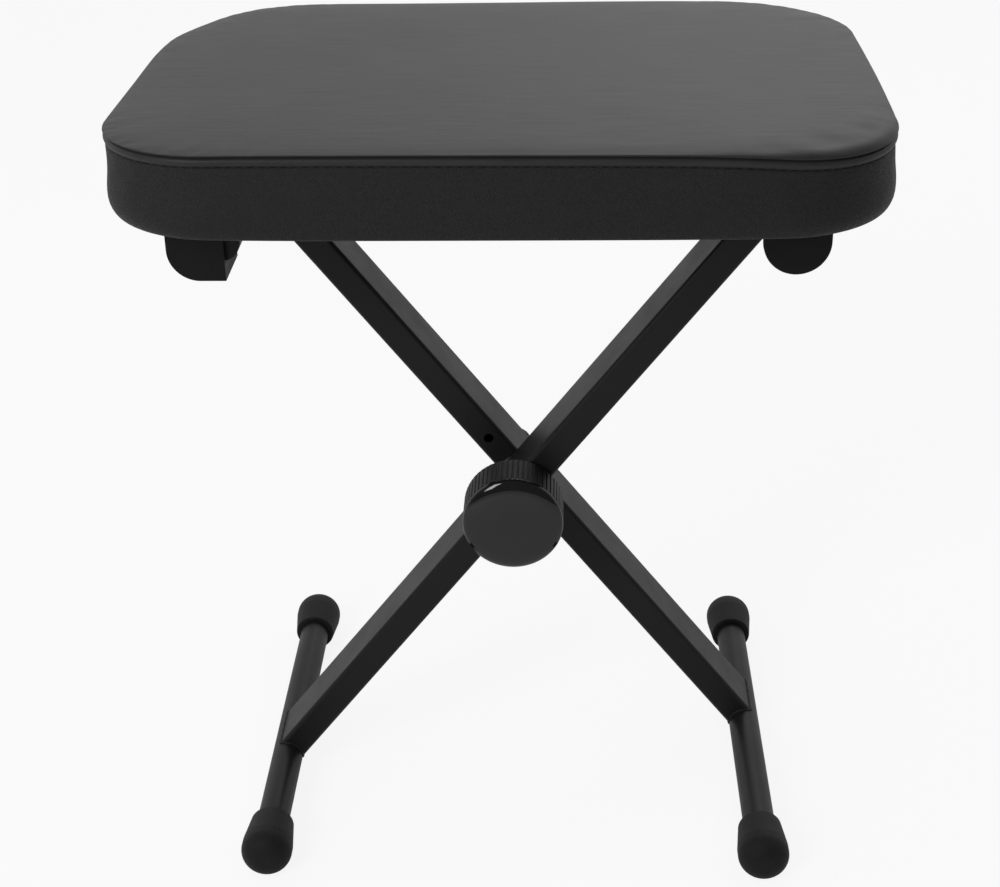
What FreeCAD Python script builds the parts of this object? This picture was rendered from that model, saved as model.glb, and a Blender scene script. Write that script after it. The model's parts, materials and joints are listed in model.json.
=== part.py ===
import FreeCAD, Part

import math
import os

import Sketcher

# Folding keyboard bench
# A padded seat stands on two crossed legs that pivot on one clamped bolt.
# Frame: +X to the sitter's right, +Y to the back, +Z up, millimetres.
# Origin: on the floor, under the middle of the seat.
# The front leg runs from the left foot to the right end of the seat, and the rear leg crosses behind it.
# The seat turns on the rear leg's top tube, at the left, and rests on the front leg's top tube, at the right.

document = FreeCAD.newDocument("FoldingBench")
sheet = document.addObject("Spreadsheet::Sheet", "Sizes")

# Driving dimensions
DIMENSIONS = [
    ("arm_reach", 237.0, "pivot axis to the middle of a foot tube or top tube"),
    ("pivot_x", 3.5, "pivot axis to the right of the seat's middle"),
    ("frame_y", -11.0, "middle of the leg frame from the seat's middle"),
    ("arm_width", 17.3, "arm tube, seen from the front"),
    ("arm_depth", 35.5, "arm tube, front to back"),
    ("arm_wall", 1.5, "wall of the arm tube"),
    ("arm_corner", 2.5, "outer corner radius of the arm tube"),
    ("arm_gap", 3.0, "space between the two arms"),
    ("tube_diameter", 19.0, "foot tubes and top tubes"),
    ("tube_wall", 1.5, "wall of the round tubes"),
    ("foot_tube_length", 272.0, "foot tube without its caps"),
    ("top_tube_inset", 47.5, "seat side beyond a top tube's end, the mean of both ends"),
    ("stop_hole_reach", 25.8, "pivot axis to the small hole in the rear arm"),
    ("stop_hole_radius", 3.0, "small hole in the rear arm"),
    ("cap_radius", 15.0, "foot cap at its widest"),
    ("cap_mouth_radius", 12.8, "foot cap where the tube goes in"),
    ("cap_length", 36.0, "foot cap along the tube"),
    ("cap_swell", 20.0, "mouth of the foot cap to its widest part"),
    ("cap_end", 4.0, "rubber beyond the end of the tube"),
    ("cap_round", 11.5, "rounding of the foot cap's outer end"),
    ("cap_sole", 0.5, "depth of the flat under the foot cap"),
    ("plug_head", 1.2, "flange of a top tube plug"),
    ("plug_length", 12.0, "shank of a top tube plug"),
    ("bolt_radius", 5.0, "pivot bolt"),
    ("bolt_head_radius", 7.0, "domed head of the pivot bolt"),
    ("bolt_head_height", 3.5, "domed head of the pivot bolt"),
    ("bolt_head_round", 2.6, "rounding of the pivot bolt's head"),
    ("sleeve_radius", 7.0, "spacer sleeve through each arm, outside"),
    ("disc_radius", 8.5, "friction disc, outside"),
    ("washer_radius", 8.5, "steel washers, outside"),
    ("washer_thickness", 2.0, "steel washers"),
    ("knob_radius", 28.9, "clamp knob over its ribs"),
    ("knob_rim_length", 24.0, "ribbed rim of the clamp knob"),
    ("knob_hub_radius", 18.0, "neck of the knob behind its rim"),
    ("knob_hub_length", 2.0, "neck of the knob behind its rim"),
    ("knob_wall", 2.6, "rim wall and web of the knob"),
    ("knob_boss_radius", 11.0, "boss round the threaded insert"),
    ("insert_flats", 15.0, "threaded insert across its flats"),
    ("insert_length", 20.0, "threaded insert"),
    ("groove_radius", 0.55, "finger groove in the knob's rim"),
    ("groove_count", 60.0, "finger grooves round the rim"),
    ("lens_rise", 3.4, "dome of the knob's glossy cap"),
    ("lens_edge", 0.1, "step from the knob's ribs in to the edge of its glossy cap"),
    ("lens_wall", 2.2, "wall of the glossy cap"),
    ("lens_skirt", 4.0, "skirt of the glossy cap inside the rim"),
    ("tube_drop", 11.8, "top tube axis to the underside of the seat"),
    ("bush_wall", 0.9, "nylon hinge bush"),
    ("bracket_length", 36.0, "hinge blocks and rest brackets along the tube"),
    ("bracket_end", 3.0, "closed end of a bracket"),
    ("flange_thickness", 2.0, "screw flange of a bracket"),
    ("flange_reach", 27.0, "screw flange from the tube axis"),
    ("screw_offset", 21.9, "bracket screw from the tube axis"),
    ("block_bottom", 20.0, "hinge block below the tube axis"),
    ("block_foot", 2.6, "inner side of the hinge block past the tube axis"),
    ("block_round", 16.5, "rounded outer corner of the hinge block"),
    ("rest_radius", 17.2, "round end plate of a rest bracket"),
    ("screw_radius", 2.0, "bracket screw shank"),
    ("screw_head_radius", 3.8, "bracket screw head"),
    ("screw_length", 13.0, "bracket screw"),
    ("seat_width", 400.0, "seat, left to right"),
    ("seat_overhang", 53.8, "seat end beyond a top tube's axis, the mean of both ends"),
    ("seat_depth", 302.0, "seat, front to back"),
    ("pad_thickness", 46.0, "seat from its hem to the top of its crown"),
    ("front_corner", 60.0, "corner radius of the seat's front corners, seen from above"),
    ("back_corner", 86.0, "corner radius of the seat's back corners, seen from above"),
    ("edge_roll", 5.0, "rounding of the seat's top edge"),
    ("crown_rise", 1.2, "rise of the crown inside the top edge"),
    ("side_draw", 1.5, "how far the side band is drawn in"),
    ("hem_tuck", 4.0, "turn of the cover under the seat's edge"),
    ("hem_width", 18.0, "cover turned under the board"),
    ("cover_thickness", 1.0, "leatherette cover"),
    ("cloth_thickness", 0.4, "woven base cloth over the turned hem"),
    ("cloth_inset", 12.0, "edge of the base cloth inside the seat's outline"),
    ("board_thickness", 12.0, "plywood seat board"),
    ("board_inset", 9.0, "edge of the board inside the seat's outline"),
    ("shaft_play", 0.08, "radial clearance of a running fit"),
    ("face_play", 0.05, "clearance between flat faces that turn on each other"),
    ("rest_play", 0.3, "clearance between a rolling tube and its rest"),
]

values = {}
for row, (alias, value, note) in enumerate(DIMENSIONS, start=1):
    sheet.set("A%d" % row, note)
    sheet.set("B%d" % row, str(value))
    sheet.setAlias("B%d" % row, alias)
document.recompute()
for alias, _, _ in DIMENSIONS:
    values[alias] = float(getattr(sheet, alias))


class Size:
    """A dimension that knows both its cell expression and its present value."""

    def __init__(self, text, value):
        self.text = text
        self.value = value

    def __add__(self, other):
        return join(self, "+", other)

    def __radd__(self, other):
        return join(other, "+", self)

    def __sub__(self, other):
        return join(self, "-", other)

    def __rsub__(self, other):
        return join(other, "-", self)

    def __mul__(self, other):
        return join(self, "*", other)

    def __rmul__(self, other):
        return join(other, "*", self)

    def __truediv__(self, other):
        return join(self, "/", other)

    def __neg__(self):
        return join(-1.0, "*", self)


def as_size(number):
    if isinstance(number, Size):
        return number
    return Size("%.9g" % number if number >= 0 else "(%.9g)" % number, float(number))


def join(left, sign, right):
    a = as_size(left)
    b = as_size(right)
    results = {"+": a.value + b.value, "-": a.value - b.value, "*": a.value * b.value}
    value = a.value / b.value if sign == "/" else results[sign]
    return Size("(%s %s %s)" % (a.text, sign, b.text), value)


def size(alias):
    return Size("Sizes.%s" % alias, values[alias])


def arcsine(ratio):
    return Size("asin(%s)" % ratio.text, math.degrees(math.asin(ratio.value)))


def root(number):
    return Size("sqrt(%s)" % number.text, math.sqrt(number.value))


# Places worked out from the driving dimensions
tube_radius = size("tube_diameter") / 2
half_span = size("seat_width") / 2 - size("seat_overhang")
half_angle = arcsine(half_span / size("arm_reach"))
half_rise = root(size("arm_reach") * size("arm_reach") - half_span * half_span)
top_tube_length = size("seat_depth") - size("top_tube_inset") * 2
foot_z = size("cap_radius") - size("cap_sole")
pivot_z = foot_z + half_rise
top_z = pivot_z + half_rise
left_x = size("pivot_x") - half_span
right_x = size("pivot_x") + half_span
front_arm_y = size("frame_y") - (size("arm_gap") + size("arm_depth")) / 2
back_arm_y = size("frame_y") + (size("arm_gap") + size("arm_depth")) / 2
front_face_y = front_arm_y - size("arm_depth") / 2
back_face_y = back_arm_y + size("arm_depth") / 2
knob_back_y = front_face_y - size("washer_thickness") - size("face_play") * 2
underside_z = top_z + size("tube_drop")
hem_z = underside_z + size("cloth_thickness")
board_z = hem_z + size("cover_thickness")
bush_radius = tube_radius + size("shaft_play") + size("bush_wall")
bolt_bore = size("bolt_radius") + size("shaft_play")
plug_end = top_tube_length / 2 + size("plug_head")
bracket_middle = plug_end + size("rest_play") + size("bracket_end") - size("bracket_length") / 2

exports = []


def keep(shape_object, label):
    """Marks a document object as a sub-part that gets its own file."""
    shape_object.Label = label
    exports.append(shape_object)
    return shape_object


def place(shape_object, x=0.0, y=0.0, z=0.0, axis=None, angle=None):
    if axis is not None:
        turn = FreeCAD.Rotation(FreeCAD.Vector(*axis), as_size(angle).value)
        shape_object.Placement = FreeCAD.Placement(FreeCAD.Vector(0, 0, 0), turn)
        if isinstance(angle, Size):
            shape_object.setExpression("Placement.Rotation.Angle", angle.text)
    for letter, distance in (("x", x), ("y", y), ("z", z)):
        shape_object.setExpression("Placement.Base.%s" % letter, as_size(distance).text)


def new_body(name, **where):
    body = document.addObject("PartDesign::Body", name)
    place(body, **where)
    return body


def plane_of(body, role):
    return next(feature for feature in body.Origin.OriginFeatures if feature.Role == role)


def new_sketch(body, role):
    sketch = body.newObject("Sketcher::SketchObject", body.Name + "_sketch")
    sketch.AttachmentSupport = [(plane_of(body, role), "")]
    sketch.MapMode = "FlatFace"
    return sketch


def fix_point(sketch, element, position, x, y):
    """Holds a point of a sketch at a distance from its origin, bound to the sheet."""
    for kind, distance in (("DistanceX", as_size(x)), ("DistanceY", as_size(y))):
        constraint = Sketcher.Constraint(kind, -1, 1, element, position, distance.value)
        index = sketch.addConstraint(constraint)
        sketch.setExpression("Constraints[%d]" % index, distance.text)


def add_outline(sketch, corners):
    """Draws a closed outline of straight lines through the given corners."""
    first = sketch.GeometryCount
    count = len(corners)
    for index, (x, y) in enumerate(corners):
        next_x, next_y = corners[(index + 1) % count]
        start = FreeCAD.Vector(as_size(x).value, as_size(y).value, 0)
        end = FreeCAD.Vector(as_size(next_x).value, as_size(next_y).value, 0)
        sketch.addGeometry(Part.LineSegment(start, end), False)
    for index in range(count):
        following = (index + 1) % count
        sketch.addConstraint(Sketcher.Constraint("Coincident", first + index, 2, first + following, 1))
    for index, (x, y) in enumerate(corners):
        fix_point(sketch, first + index, 1, x, y)


def add_circle(sketch, x, y, radius):
    centre = FreeCAD.Vector(as_size(x).value, as_size(y).value, 0)
    circle = Part.Circle(centre, FreeCAD.Vector(0, 0, 1), as_size(radius).value)
    element = sketch.addGeometry(circle, False)
    fix_point(sketch, element, 3, x, y)
    index = sketch.addConstraint(Sketcher.Constraint("Radius", element, as_size(radius).value))
    sketch.setExpression("Constraints[%d]" % index, as_size(radius).text)


def outline_sketch(body, role, corners):
    sketch = new_sketch(body, role)
    add_outline(sketch, corners)
    return sketch


def circle_sketch(body, role, circles):
    sketch = new_sketch(body, role)
    for x, y, radius in circles:
        add_circle(sketch, x, y, radius)
    return sketch


def rectangle(width, height):
    half_width = as_size(width) / 2
    half_height = as_size(height) / 2
    return [(-half_width, -half_height), (half_width, -half_height),
            (half_width, half_height), (-half_width, half_height)]


def hexagon(flats):
    radius = as_size(flats) / (2 * math.cos(math.pi / 6))
    corners = []
    for step in range(6):
        angle = math.radians(60 * step)
        corners.append((radius * math.cos(angle), radius * math.sin(angle)))
    return corners


def pad(body, sketch, length, symmetric=False, backwards=False):
    feature = body.newObject("PartDesign::Pad", body.Name + "_pad")
    feature.Profile = sketch
    feature.setExpression("Length", as_size(length).text)
    feature.SideType = "Symmetric" if symmetric else "One side"
    feature.Reversed = backwards
    document.recompute()
    return feature


def pocket(body, sketch, depth=None, symmetric=False, backwards=False):
    """Cuts a sketch into a body, all the way through where no depth is given."""
    before = body.Shape.Volume
    feature = body.newObject("PartDesign::Pocket", body.Name + "_pocket")
    feature.Profile = sketch
    feature.SideType = "Symmetric" if symmetric else "One side"
    feature.Reversed = backwards
    if depth is None:
        feature.Type = "ThroughAll"
    else:
        feature.setExpression("Length", as_size(depth).text)
    document.recompute()
    if body.Shape.Volume >= before:
        raise RuntimeError("a pocket of %s cuts nothing" % body.Name)
    return feature


def pocket_both_ways(body, sketch, behind, ahead):
    """Cuts a sketch to one depth behind its plane and to another ahead of it."""
    before = body.Shape.Volume
    feature = body.newObject("PartDesign::Pocket", body.Name + "_pocket")
    feature.Profile = sketch
    feature.SideType = "Two sides"
    feature.setExpression("Length", behind.text)
    feature.setExpression("Length2", ahead.text)
    document.recompute()
    if body.Shape.Volume >= before:
        raise RuntimeError("a pocket of %s cuts nothing" % body.Name)
    return feature


def revolve(body, corners, role="XY_Plane"):
    """Turns an outline of (radius, distance along the axis) round the sketch's upright axis."""
    sketch = outline_sketch(body, role, corners)
    feature = body.newObject("PartDesign::Revolution", body.Name + "_revolution")
    feature.Profile = sketch
    feature.ReferenceAxis = (sketch, ["V_Axis"])
    feature.Angle = 360
    document.recompute()
    return feature


def matching_edges(shape, test):
    return ["Edge%d" % (index + 1) for index, edge in enumerate(shape.Edges) if test(edge)]


def runs_along(direction):
    wanted = FreeCAD.Vector(*direction)

    def test(edge):
        straight = edge.Curve.TypeId == "Part::GeomLine"
        return straight and abs(abs(edge.Curve.Direction.dot(wanted)) - 1) < 1e-6

    return test


def is_ring(radius, centre_test):
    def test(edge):
        if edge.Curve.TypeId != "Part::GeomCircle":
            return False
        return abs(edge.Curve.Radius - as_size(radius).value) < 1e-4 and centre_test(edge.Curve.Center)

    return test


def dress(kind, body, base, test, amount):
    """Adds a fillet or chamfer of the given size to the edges that pass the test."""
    names = matching_edges(base.Shape, test)
    if not names:
        raise RuntimeError("no edge for the %s of %s" % (kind, body.Name))
    feature = body.newObject("PartDesign::" + kind, body.Name + "_" + kind.lower())
    feature.Base = (base, names)
    feature.setExpression("Radius" if kind == "Fillet" else "Size", as_size(amount).text)
    document.recompute()
    return feature


def tube(name, length, outer, inner, **where):
    """A round tube or ring along Y, centred on its own middle."""
    body = new_body(name, **where)
    sketch = circle_sketch(body, "XZ_Plane", [(0, 0, outer), (0, 0, inner)])
    pad(body, sketch, length, symmetric=True)
    return body


# Arms
# Each arm is a rectangular tube whose ends are coped to the round tubes.
# In its own frame an arm stands upright with the pivot at its origin.
def make_arm(name, side_y, lean):
    body = new_body(name, x=size("pivot_x"), y=side_y, z=pivot_z, axis=(0, 1, 0), angle=lean)
    outer = outline_sketch(body, "XY_Plane", rectangle(size("arm_width"), size("arm_depth")))
    bar = pad(body, outer, size("arm_reach") * 2, symmetric=True)
    bar = dress("Fillet", body, bar, runs_along((0, 0, 1)), size("arm_corner"))
    hollow = rectangle(size("arm_width") - size("arm_wall") * 2, size("arm_depth") - size("arm_wall") * 2)
    pocket(body, outline_sketch(body, "XY_Plane", hollow), symmetric=True)
    ends = [(0, size("arm_reach"), tube_radius), (0, -size("arm_reach"), tube_radius)]
    pocket(body, circle_sketch(body, "XZ_Plane", ends), symmetric=True)
    pocket(body, circle_sketch(body, "XZ_Plane", [(0, 0, size("sleeve_radius"))]), symmetric=True)
    return body


front_arm = make_arm("front_arm", front_arm_y, half_angle)
keep(front_arm, "front_arm")

back_arm = make_arm("back_arm", back_arm_y, -half_angle)
stop_hole = [(0, size("stop_hole_reach"), size("stop_hole_radius"))]
pocket(back_arm, circle_sketch(back_arm, "XZ_Plane", stop_hole), backwards=True)
keep(back_arm, "back_arm")


# Round tubes
# The foot tubes lie on the floor in their caps, and the top tubes carry the seat.
tube_bore = tube_radius - size("tube_wall")
for name, tube_x in (("left_foot_tube", left_x), ("right_foot_tube", right_x)):
    body = tube(name, size("foot_tube_length"), tube_radius, tube_bore, x=tube_x, y=size("frame_y"), z=foot_z)
    keep(body, name)
for name, tube_x in (("left_top_tube", left_x), ("right_top_tube", right_x)):
    body = tube(name, top_tube_length, tube_radius, tube_bore, x=tube_x, y=size("frame_y"), z=top_z)
    keep(body, name)


# Foot caps
# A rubber cap swells from its mouth to a round end, and has a narrow flat sole.
def make_foot_cap(name, tube_x, end):
    mouth = size("foot_tube_length") / 2 + size("cap_end") - size("cap_length")
    turn = 0 if end < 0 else 180
    where = {"x": tube_x, "y": size("frame_y") + mouth * end, "z": foot_z}
    body = new_body(name, axis=(0, 0, 1), angle=turn, **where)
    bottom = -size("cap_length") + size("cap_end")
    corners = [
        (tube_radius, 0),
        (size("cap_mouth_radius"), 0),
        (size("cap_radius"), -size("cap_swell")),
        (size("cap_radius"), -size("cap_length")),
        (0, -size("cap_length")),
        (0, bottom),
        (tube_radius, bottom),
    ]
    shell = revolve(body, corners)
    end_test = is_ring(size("cap_radius"), lambda centre: centre.y < -values["cap_length"] + 0.01)
    shell = dress("Fillet", body, shell, end_test, size("cap_round"))
    mouth_test = is_ring(size("cap_mouth_radius"), lambda centre: abs(centre.y) < 0.01)
    dress("Fillet", body, shell, mouth_test, (size("cap_mouth_radius") - tube_radius) * 0.4)
    sole = [
        (0, -foot_z),
        (-size("cap_length"), -foot_z),
        (-size("cap_length"), -size("cap_radius") * 2),
        (0, -size("cap_radius") * 2),
    ]
    pocket(body, outline_sketch(body, "YZ_Plane", sole), symmetric=True)
    keep(body, name)


for side, tube_x in (("left", left_x), ("right", right_x)):
    make_foot_cap(side + "_front_foot_cap", tube_x, -1)
    make_foot_cap(side + "_back_foot_cap", tube_x, 1)


# Top tube plugs
# A moulded plug closes each end of a top tube, and both plugs of a tube share one node.
def make_plug(name, tube_x, end):
    turn = 0 if end < 0 else 180
    where = {"x": tube_x, "y": size("frame_y") + top_tube_length / 2 * end, "z": top_z}
    body = new_body(name, axis=(0, 0, 1), angle=turn, **where)
    corners = [
        (0, -size("plug_head")),
        (tube_radius, -size("plug_head")),
        (tube_radius, 0),
        (tube_bore, 0),
        (tube_bore, size("plug_length")),
        (0, size("plug_length")),
    ]
    revolve(body, corners)
    return body


def make_group(name, members):
    group = document.addObject("Part::Compound", name)
    group.Links = members
    keep(group, name)


for side, tube_x in (("left", left_x), ("right", right_x)):
    plugs = [make_plug("%s_plug_%s" % (side, word), tube_x, end) for word, end in (("front", -1), ("back", 1))]
    make_group(side + "_tube_plugs", plugs)


# Pivot
# One bolt through both arms, with a sleeve in each arm and two friction discs between them.
pivot = {"x": size("pivot_x"), "z": pivot_z}
keep(tube("front_sleeve", size("arm_depth"), size("sleeve_radius"), bolt_bore, y=front_arm_y, **pivot), "front_sleeve")
keep(tube("back_sleeve", size("arm_depth"), size("sleeve_radius"), bolt_bore, y=back_arm_y, **pivot), "back_sleeve")

disc_thickness = (size("arm_gap") - size("face_play")) / 2
for name, side in (("front_friction_disc", -1), ("back_friction_disc", 1)):
    disc_y = size("frame_y") + (size("arm_gap") - disc_thickness) / 2 * side
    keep(tube(name, disc_thickness, size("disc_radius"), bolt_bore, y=disc_y, **pivot), name)

half_washer = size("washer_thickness") / 2
thrust_y = front_face_y - size("face_play") - half_washer
washer = tube("thrust_washer", size("washer_thickness"), size("washer_radius"), bolt_bore, y=thrust_y, **pivot)
keep(washer, "thrust_washer")
back_washer_y = back_face_y + half_washer
washer = tube("back_washer", size("washer_thickness"), size("washer_radius"), bolt_bore, y=back_washer_y, **pivot)
keep(washer, "back_washer")

bolt_seat_y = back_face_y + size("washer_thickness")
bolt_length = bolt_seat_y - knob_back_y + size("insert_length") - size("rest_play")
bolt = new_body("pivot_bolt", y=bolt_seat_y, **pivot)
head_sketch = circle_sketch(bolt, "XZ_Plane", [(0, 0, size("bolt_head_radius"))])
head = pad(bolt, head_sketch, size("bolt_head_height"), backwards=True)
head_edge = is_ring(size("bolt_head_radius"), lambda centre: centre.y > values["bolt_head_height"] / 2)
dress("Fillet", bolt, head, head_edge, size("bolt_head_round"))
pad(bolt, circle_sketch(bolt, "XZ_Plane", [(0, 0, size("bolt_radius"))]), bolt_length)
keep(bolt, "pivot_bolt")


# Clamp knob
# A ribbed cup with a neck behind it, a threaded insert in its boss and a glossy domed cap.
knob = new_body("knob_body", y=knob_back_y, **pivot)
shoulder_y = -size("knob_hub_length")
rim_y = shoulder_y - size("knob_rim_length")
cup_radius = size("knob_radius") - size("knob_wall")
knob_profile = [
    (0, 0),
    (size("knob_hub_radius"), 0),
    (size("knob_hub_radius"), shoulder_y),
    (size("knob_radius"), shoulder_y),
    (size("knob_radius"), rim_y),
    (cup_radius, rim_y),
    (cup_radius, shoulder_y - size("knob_wall")),
    (size("knob_boss_radius"), shoulder_y - size("knob_wall")),
    (size("knob_boss_radius"), -size("insert_length")),
    (0, -size("insert_length")),
]
cup = revolve(knob, knob_profile)
rear_rim = is_ring(size("knob_radius"), lambda centre: abs(centre.y + values["knob_hub_length"]) < 0.01)
cup = dress("Fillet", knob, cup, rear_rim, size("knob_wall") * 0.7)
pocket(knob, outline_sketch(knob, "XZ_Plane", hexagon(size("insert_flats"))), symmetric=True)
groove = pocket(knob, circle_sketch(knob, "XZ_Plane", [(size("knob_radius"), 0, size("groove_radius"))]), symmetric=True)
ribs = knob.newObject("PartDesign::PolarPattern", "knob_ribs")
ribs.Originals = [groove]
ribs.Axis = (plane_of(knob, "Y_Axis"), [""])
ribs.Angle = 360
ribs.setExpression("Occurrences", size("groove_count").text)
knob.Tip = ribs
document.recompute()
keep(knob, "knob_body")

insert = new_body("knob_insert", y=knob_back_y, **pivot)
pad(insert, outline_sketch(insert, "XZ_Plane", hexagon(size("insert_flats"))), size("insert_length"))
pocket(insert, circle_sketch(insert, "XZ_Plane", [(0, 0, bolt_bore)]), symmetric=True)
keep(insert, "knob_insert")


# Glossy cap of the knob
# The dome is a slice of a ball, hollowed by a smaller ball, with a skirt that snaps into the rim.
# Its edge is as thick as its wall, and stands on the rim.
lens_radius = size("knob_radius") - size("lens_edge")
ball_radius = (lens_radius * lens_radius + size("lens_rise") * size("lens_rise")) / (size("lens_rise") * 2)
lens_y = knob_back_y + rim_y


def add_primitive(kind, name, sizes, **where):
    primitive = document.addObject("Part::" + kind, name)
    for prop, amount in sizes.items():
        primitive.setExpression(prop, as_size(amount).text)
    place(primitive, **where)
    return primitive


def combine(kind, name, base, tool):
    result = document.addObject("Part::" + kind, name)
    result.Base = base
    result.Tool = tool
    document.recompute()
    return result


forward = {"axis": (1, 0, 0), "angle": 90}
lens_height = size("lens_rise") + size("lens_wall")
ball_y = lens_y - lens_height + ball_radius
ball = add_primitive("Sphere", "lens_ball", {"Radius": ball_radius}, y=ball_y, **pivot)
drum_sizes = {"Radius": lens_radius, "Height": lens_height * 2}
drum = add_primitive("Cylinder", "lens_drum", drum_sizes, y=lens_y, **forward, **pivot)
dome = combine("Common", "lens_dome", ball, drum)
inner_ball = add_primitive("Sphere", "lens_hollow", {"Radius": ball_radius - size("lens_wall")}, y=ball_y, **pivot)
dome = combine("Cut", "lens_shell", dome, inner_ball)
skirt_sizes = {"Radius": cup_radius, "Height": size("lens_skirt") + size("lens_wall") / 2}
skirt_y = lens_y + size("lens_skirt")
skirt = add_primitive("Cylinder", "lens_skirt_outside", skirt_sizes, y=skirt_y, **forward, **pivot)
core_sizes = {"Radius": cup_radius - size("lens_wall"), "Height": size("lens_skirt") * 2}
core_y = lens_y + size("lens_skirt") * 1.5
core = add_primitive("Cylinder", "lens_skirt_inside", core_sizes, y=core_y, **forward, **pivot)
skirt = combine("Cut", "lens_skirt_ring", skirt, core)
keep(combine("Fuse", "knob_cap", dome, skirt), "knob_cap")


# Seat brackets
# Each hinge block wraps a nylon bush on the left top tube, and each rest bracket drops over the right one.
# In its own frame a bracket has the tube axis at its origin, and it is as long as it is centred on Y.
flange_z = size("tube_drop") - size("flange_thickness")
screw_hole = size("screw_radius") + size("face_play")


def open_inner_end(body, sketch, end):
    """Cuts a bracket from its inner end as far as its closed outer end."""
    closed = size("bracket_length") / 2 - size("bracket_end")
    through = size("bracket_length")
    if end < 0:
        pocket_both_ways(body, sketch, through, closed)
    else:
        pocket_both_ways(body, sketch, closed, through)


def drill_bracket(body, outer_pocket):
    """Screw holes through both flanges, countersunk from below."""
    holes = [(-size("screw_offset"), 0, screw_hole), (size("screw_offset"), 0, screw_hole)]
    drilled = pocket(body, circle_sketch(body, "XY_Plane", holes), symmetric=True)
    if outer_pocket:
        well_radius = size("screw_head_radius") + size("rest_play")
        well = circle_sketch(body, "XY_Plane", [(-size("screw_offset"), 0, well_radius)])
        drilled = pocket_both_ways(body, well, size("block_bottom"), flange_z)
    level = values["tube_drop"] - values["flange_thickness"]
    mouth = is_ring(screw_hole, lambda centre: abs(centre.z - level) < 0.01)
    dress("Chamfer", body, drilled, mouth, size("screw_head_radius") - size("screw_radius"))


def make_hinge_block(name, end):
    """A moulded hook that grips the bush from outside and below, closed at its outer end."""
    body = new_body(name, x=left_x, y=size("frame_y") + bracket_middle * end, z=top_z)
    corners = [
        (-size("flange_reach"), size("tube_drop")),
        (-size("flange_reach"), -size("block_bottom")),
        (size("block_foot"), -size("block_bottom")),
        (size("block_foot"), flange_z),
        (size("flange_reach"), flange_z),
        (size("flange_reach"), size("tube_drop")),
    ]
    block = pad(body, outline_sketch(body, "XZ_Plane", corners), size("bracket_length"), symmetric=True)

    def outer_corner(edge):
        along = runs_along((0, 1, 0))(edge)
        low = abs(edge.CenterOfMass.z + values["block_bottom"]) < 0.01
        return along and low and edge.CenterOfMass.x < 0

    dress("Fillet", body, block, outer_corner, size("block_round"))
    drill_bracket(body, outer_pocket=True)
    bore = circle_sketch(body, "XZ_Plane", [(0, 0, bush_radius + size("shaft_play"))])
    open_inner_end(body, bore, end)
    keep(body, name)


def make_rest_bracket(name, end):
    """A moulded rest with a round end plate, a wall outside the tube and a flange above it."""
    body = new_body(name, x=right_x, y=size("frame_y") + bracket_middle * end, z=top_z)
    radius = size("rest_radius")
    plate = new_sketch(body, "XZ_Plane")
    add_circle(plate, 0, 0, radius)
    pad(body, plate, size("bracket_length"), symmetric=True)
    shoulder = [
        (-radius, 0),
        (radius, 0),
        (radius, flange_z),
        (size("flange_reach"), flange_z),
        (size("flange_reach"), size("tube_drop")),
        (-size("flange_reach"), size("tube_drop")),
        (-size("flange_reach"), flange_z),
        (-radius, flange_z),
    ]
    pad(body, outline_sketch(body, "XZ_Plane", shoulder), size("bracket_length"), symmetric=True)
    trim = [
        (-radius * 2, size("tube_drop")),
        (radius * 2, size("tube_drop")),
        (radius * 2, radius * 2),
        (-radius * 2, radius * 2),
    ]
    pocket(body, outline_sketch(body, "XZ_Plane", trim), symmetric=True)
    room = tube_radius + size("rest_play")
    path = [
        (-size("flange_reach") * 2, flange_z),
        (-size("flange_reach") * 2, -radius * 2),
        (room, -radius * 2),
        (room, flange_z),
    ]
    open_inner_end(body, outline_sketch(body, "XZ_Plane", path), end)
    drill_bracket(body, outer_pocket=False)
    keep(body, name)


for word, end in (("front", -1), ("back", 1)):
    make_hinge_block(word + "_hinge_block", end)
    make_rest_bracket(word + "_rest_bracket", end)
    bush_length = size("bracket_length") - size("bracket_end") - size("rest_play") * 2
    bush_middle = bracket_middle - (size("bracket_end")) / 2
    where = {"x": left_x, "y": size("frame_y") + bush_middle * end, "z": top_z}
    bush = tube(word + "_hinge_bush", bush_length, bush_radius, tube_radius + size("shaft_play"), **where)
    keep(bush, word + "_hinge_bush")

screw_places = []
for tube_x in (left_x, right_x):
    for end in (-1, 1):
        for side in (-1, 1):
            screw_y = size("frame_y") + bracket_middle * end
            screw_places.append((tube_x + size("screw_offset") * side, screw_y))

screws = []
head_height = size("screw_head_radius") - size("screw_radius")
for number, (screw_x, screw_y) in enumerate(screw_places, start=1):
    screw = new_body("bracket_screw_%d" % number, x=screw_x, y=screw_y, z=top_z + flange_z)
    corners = [
        (0, 0),
        (size("screw_head_radius"), 0),
        (size("screw_radius"), head_height),
        (size("screw_radius"), size("screw_length") - head_height),
        (0, size("screw_length")),
    ]
    revolve(screw, corners, role="XZ_Plane")
    screws.append(screw)
make_group("bracket_screws", screws)


# Seat board and base cloth
# Both have the cushion's rounded outline, and the screws go through the cloth into the board.
def upright_corner(side):
    """Finds the upright edges at the front, side -1, or at the back, side 1."""
    upright = runs_along((0, 0, 1))

    def test(edge):
        return upright(edge) and edge.CenterOfMass.y * side > 0

    return test


def make_sheet(name, inset, bottom, thickness, hole_depth):
    body = new_body(name, z=bottom)
    outline = rectangle(size("seat_width") - inset * 2, size("seat_depth") - inset * 2)
    board = pad(body, outline_sketch(body, "XY_Plane", outline), thickness)
    board = dress("Fillet", body, board, upright_corner(-1), size("front_corner") - inset)
    dress("Fillet", body, board, upright_corner(1), size("back_corner") - inset)
    circles = [(x, y, size("screw_radius")) for x, y in screw_places]
    pocket(body, circle_sketch(body, "XY_Plane", circles), hole_depth, backwards=True)
    keep(body, name)


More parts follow.
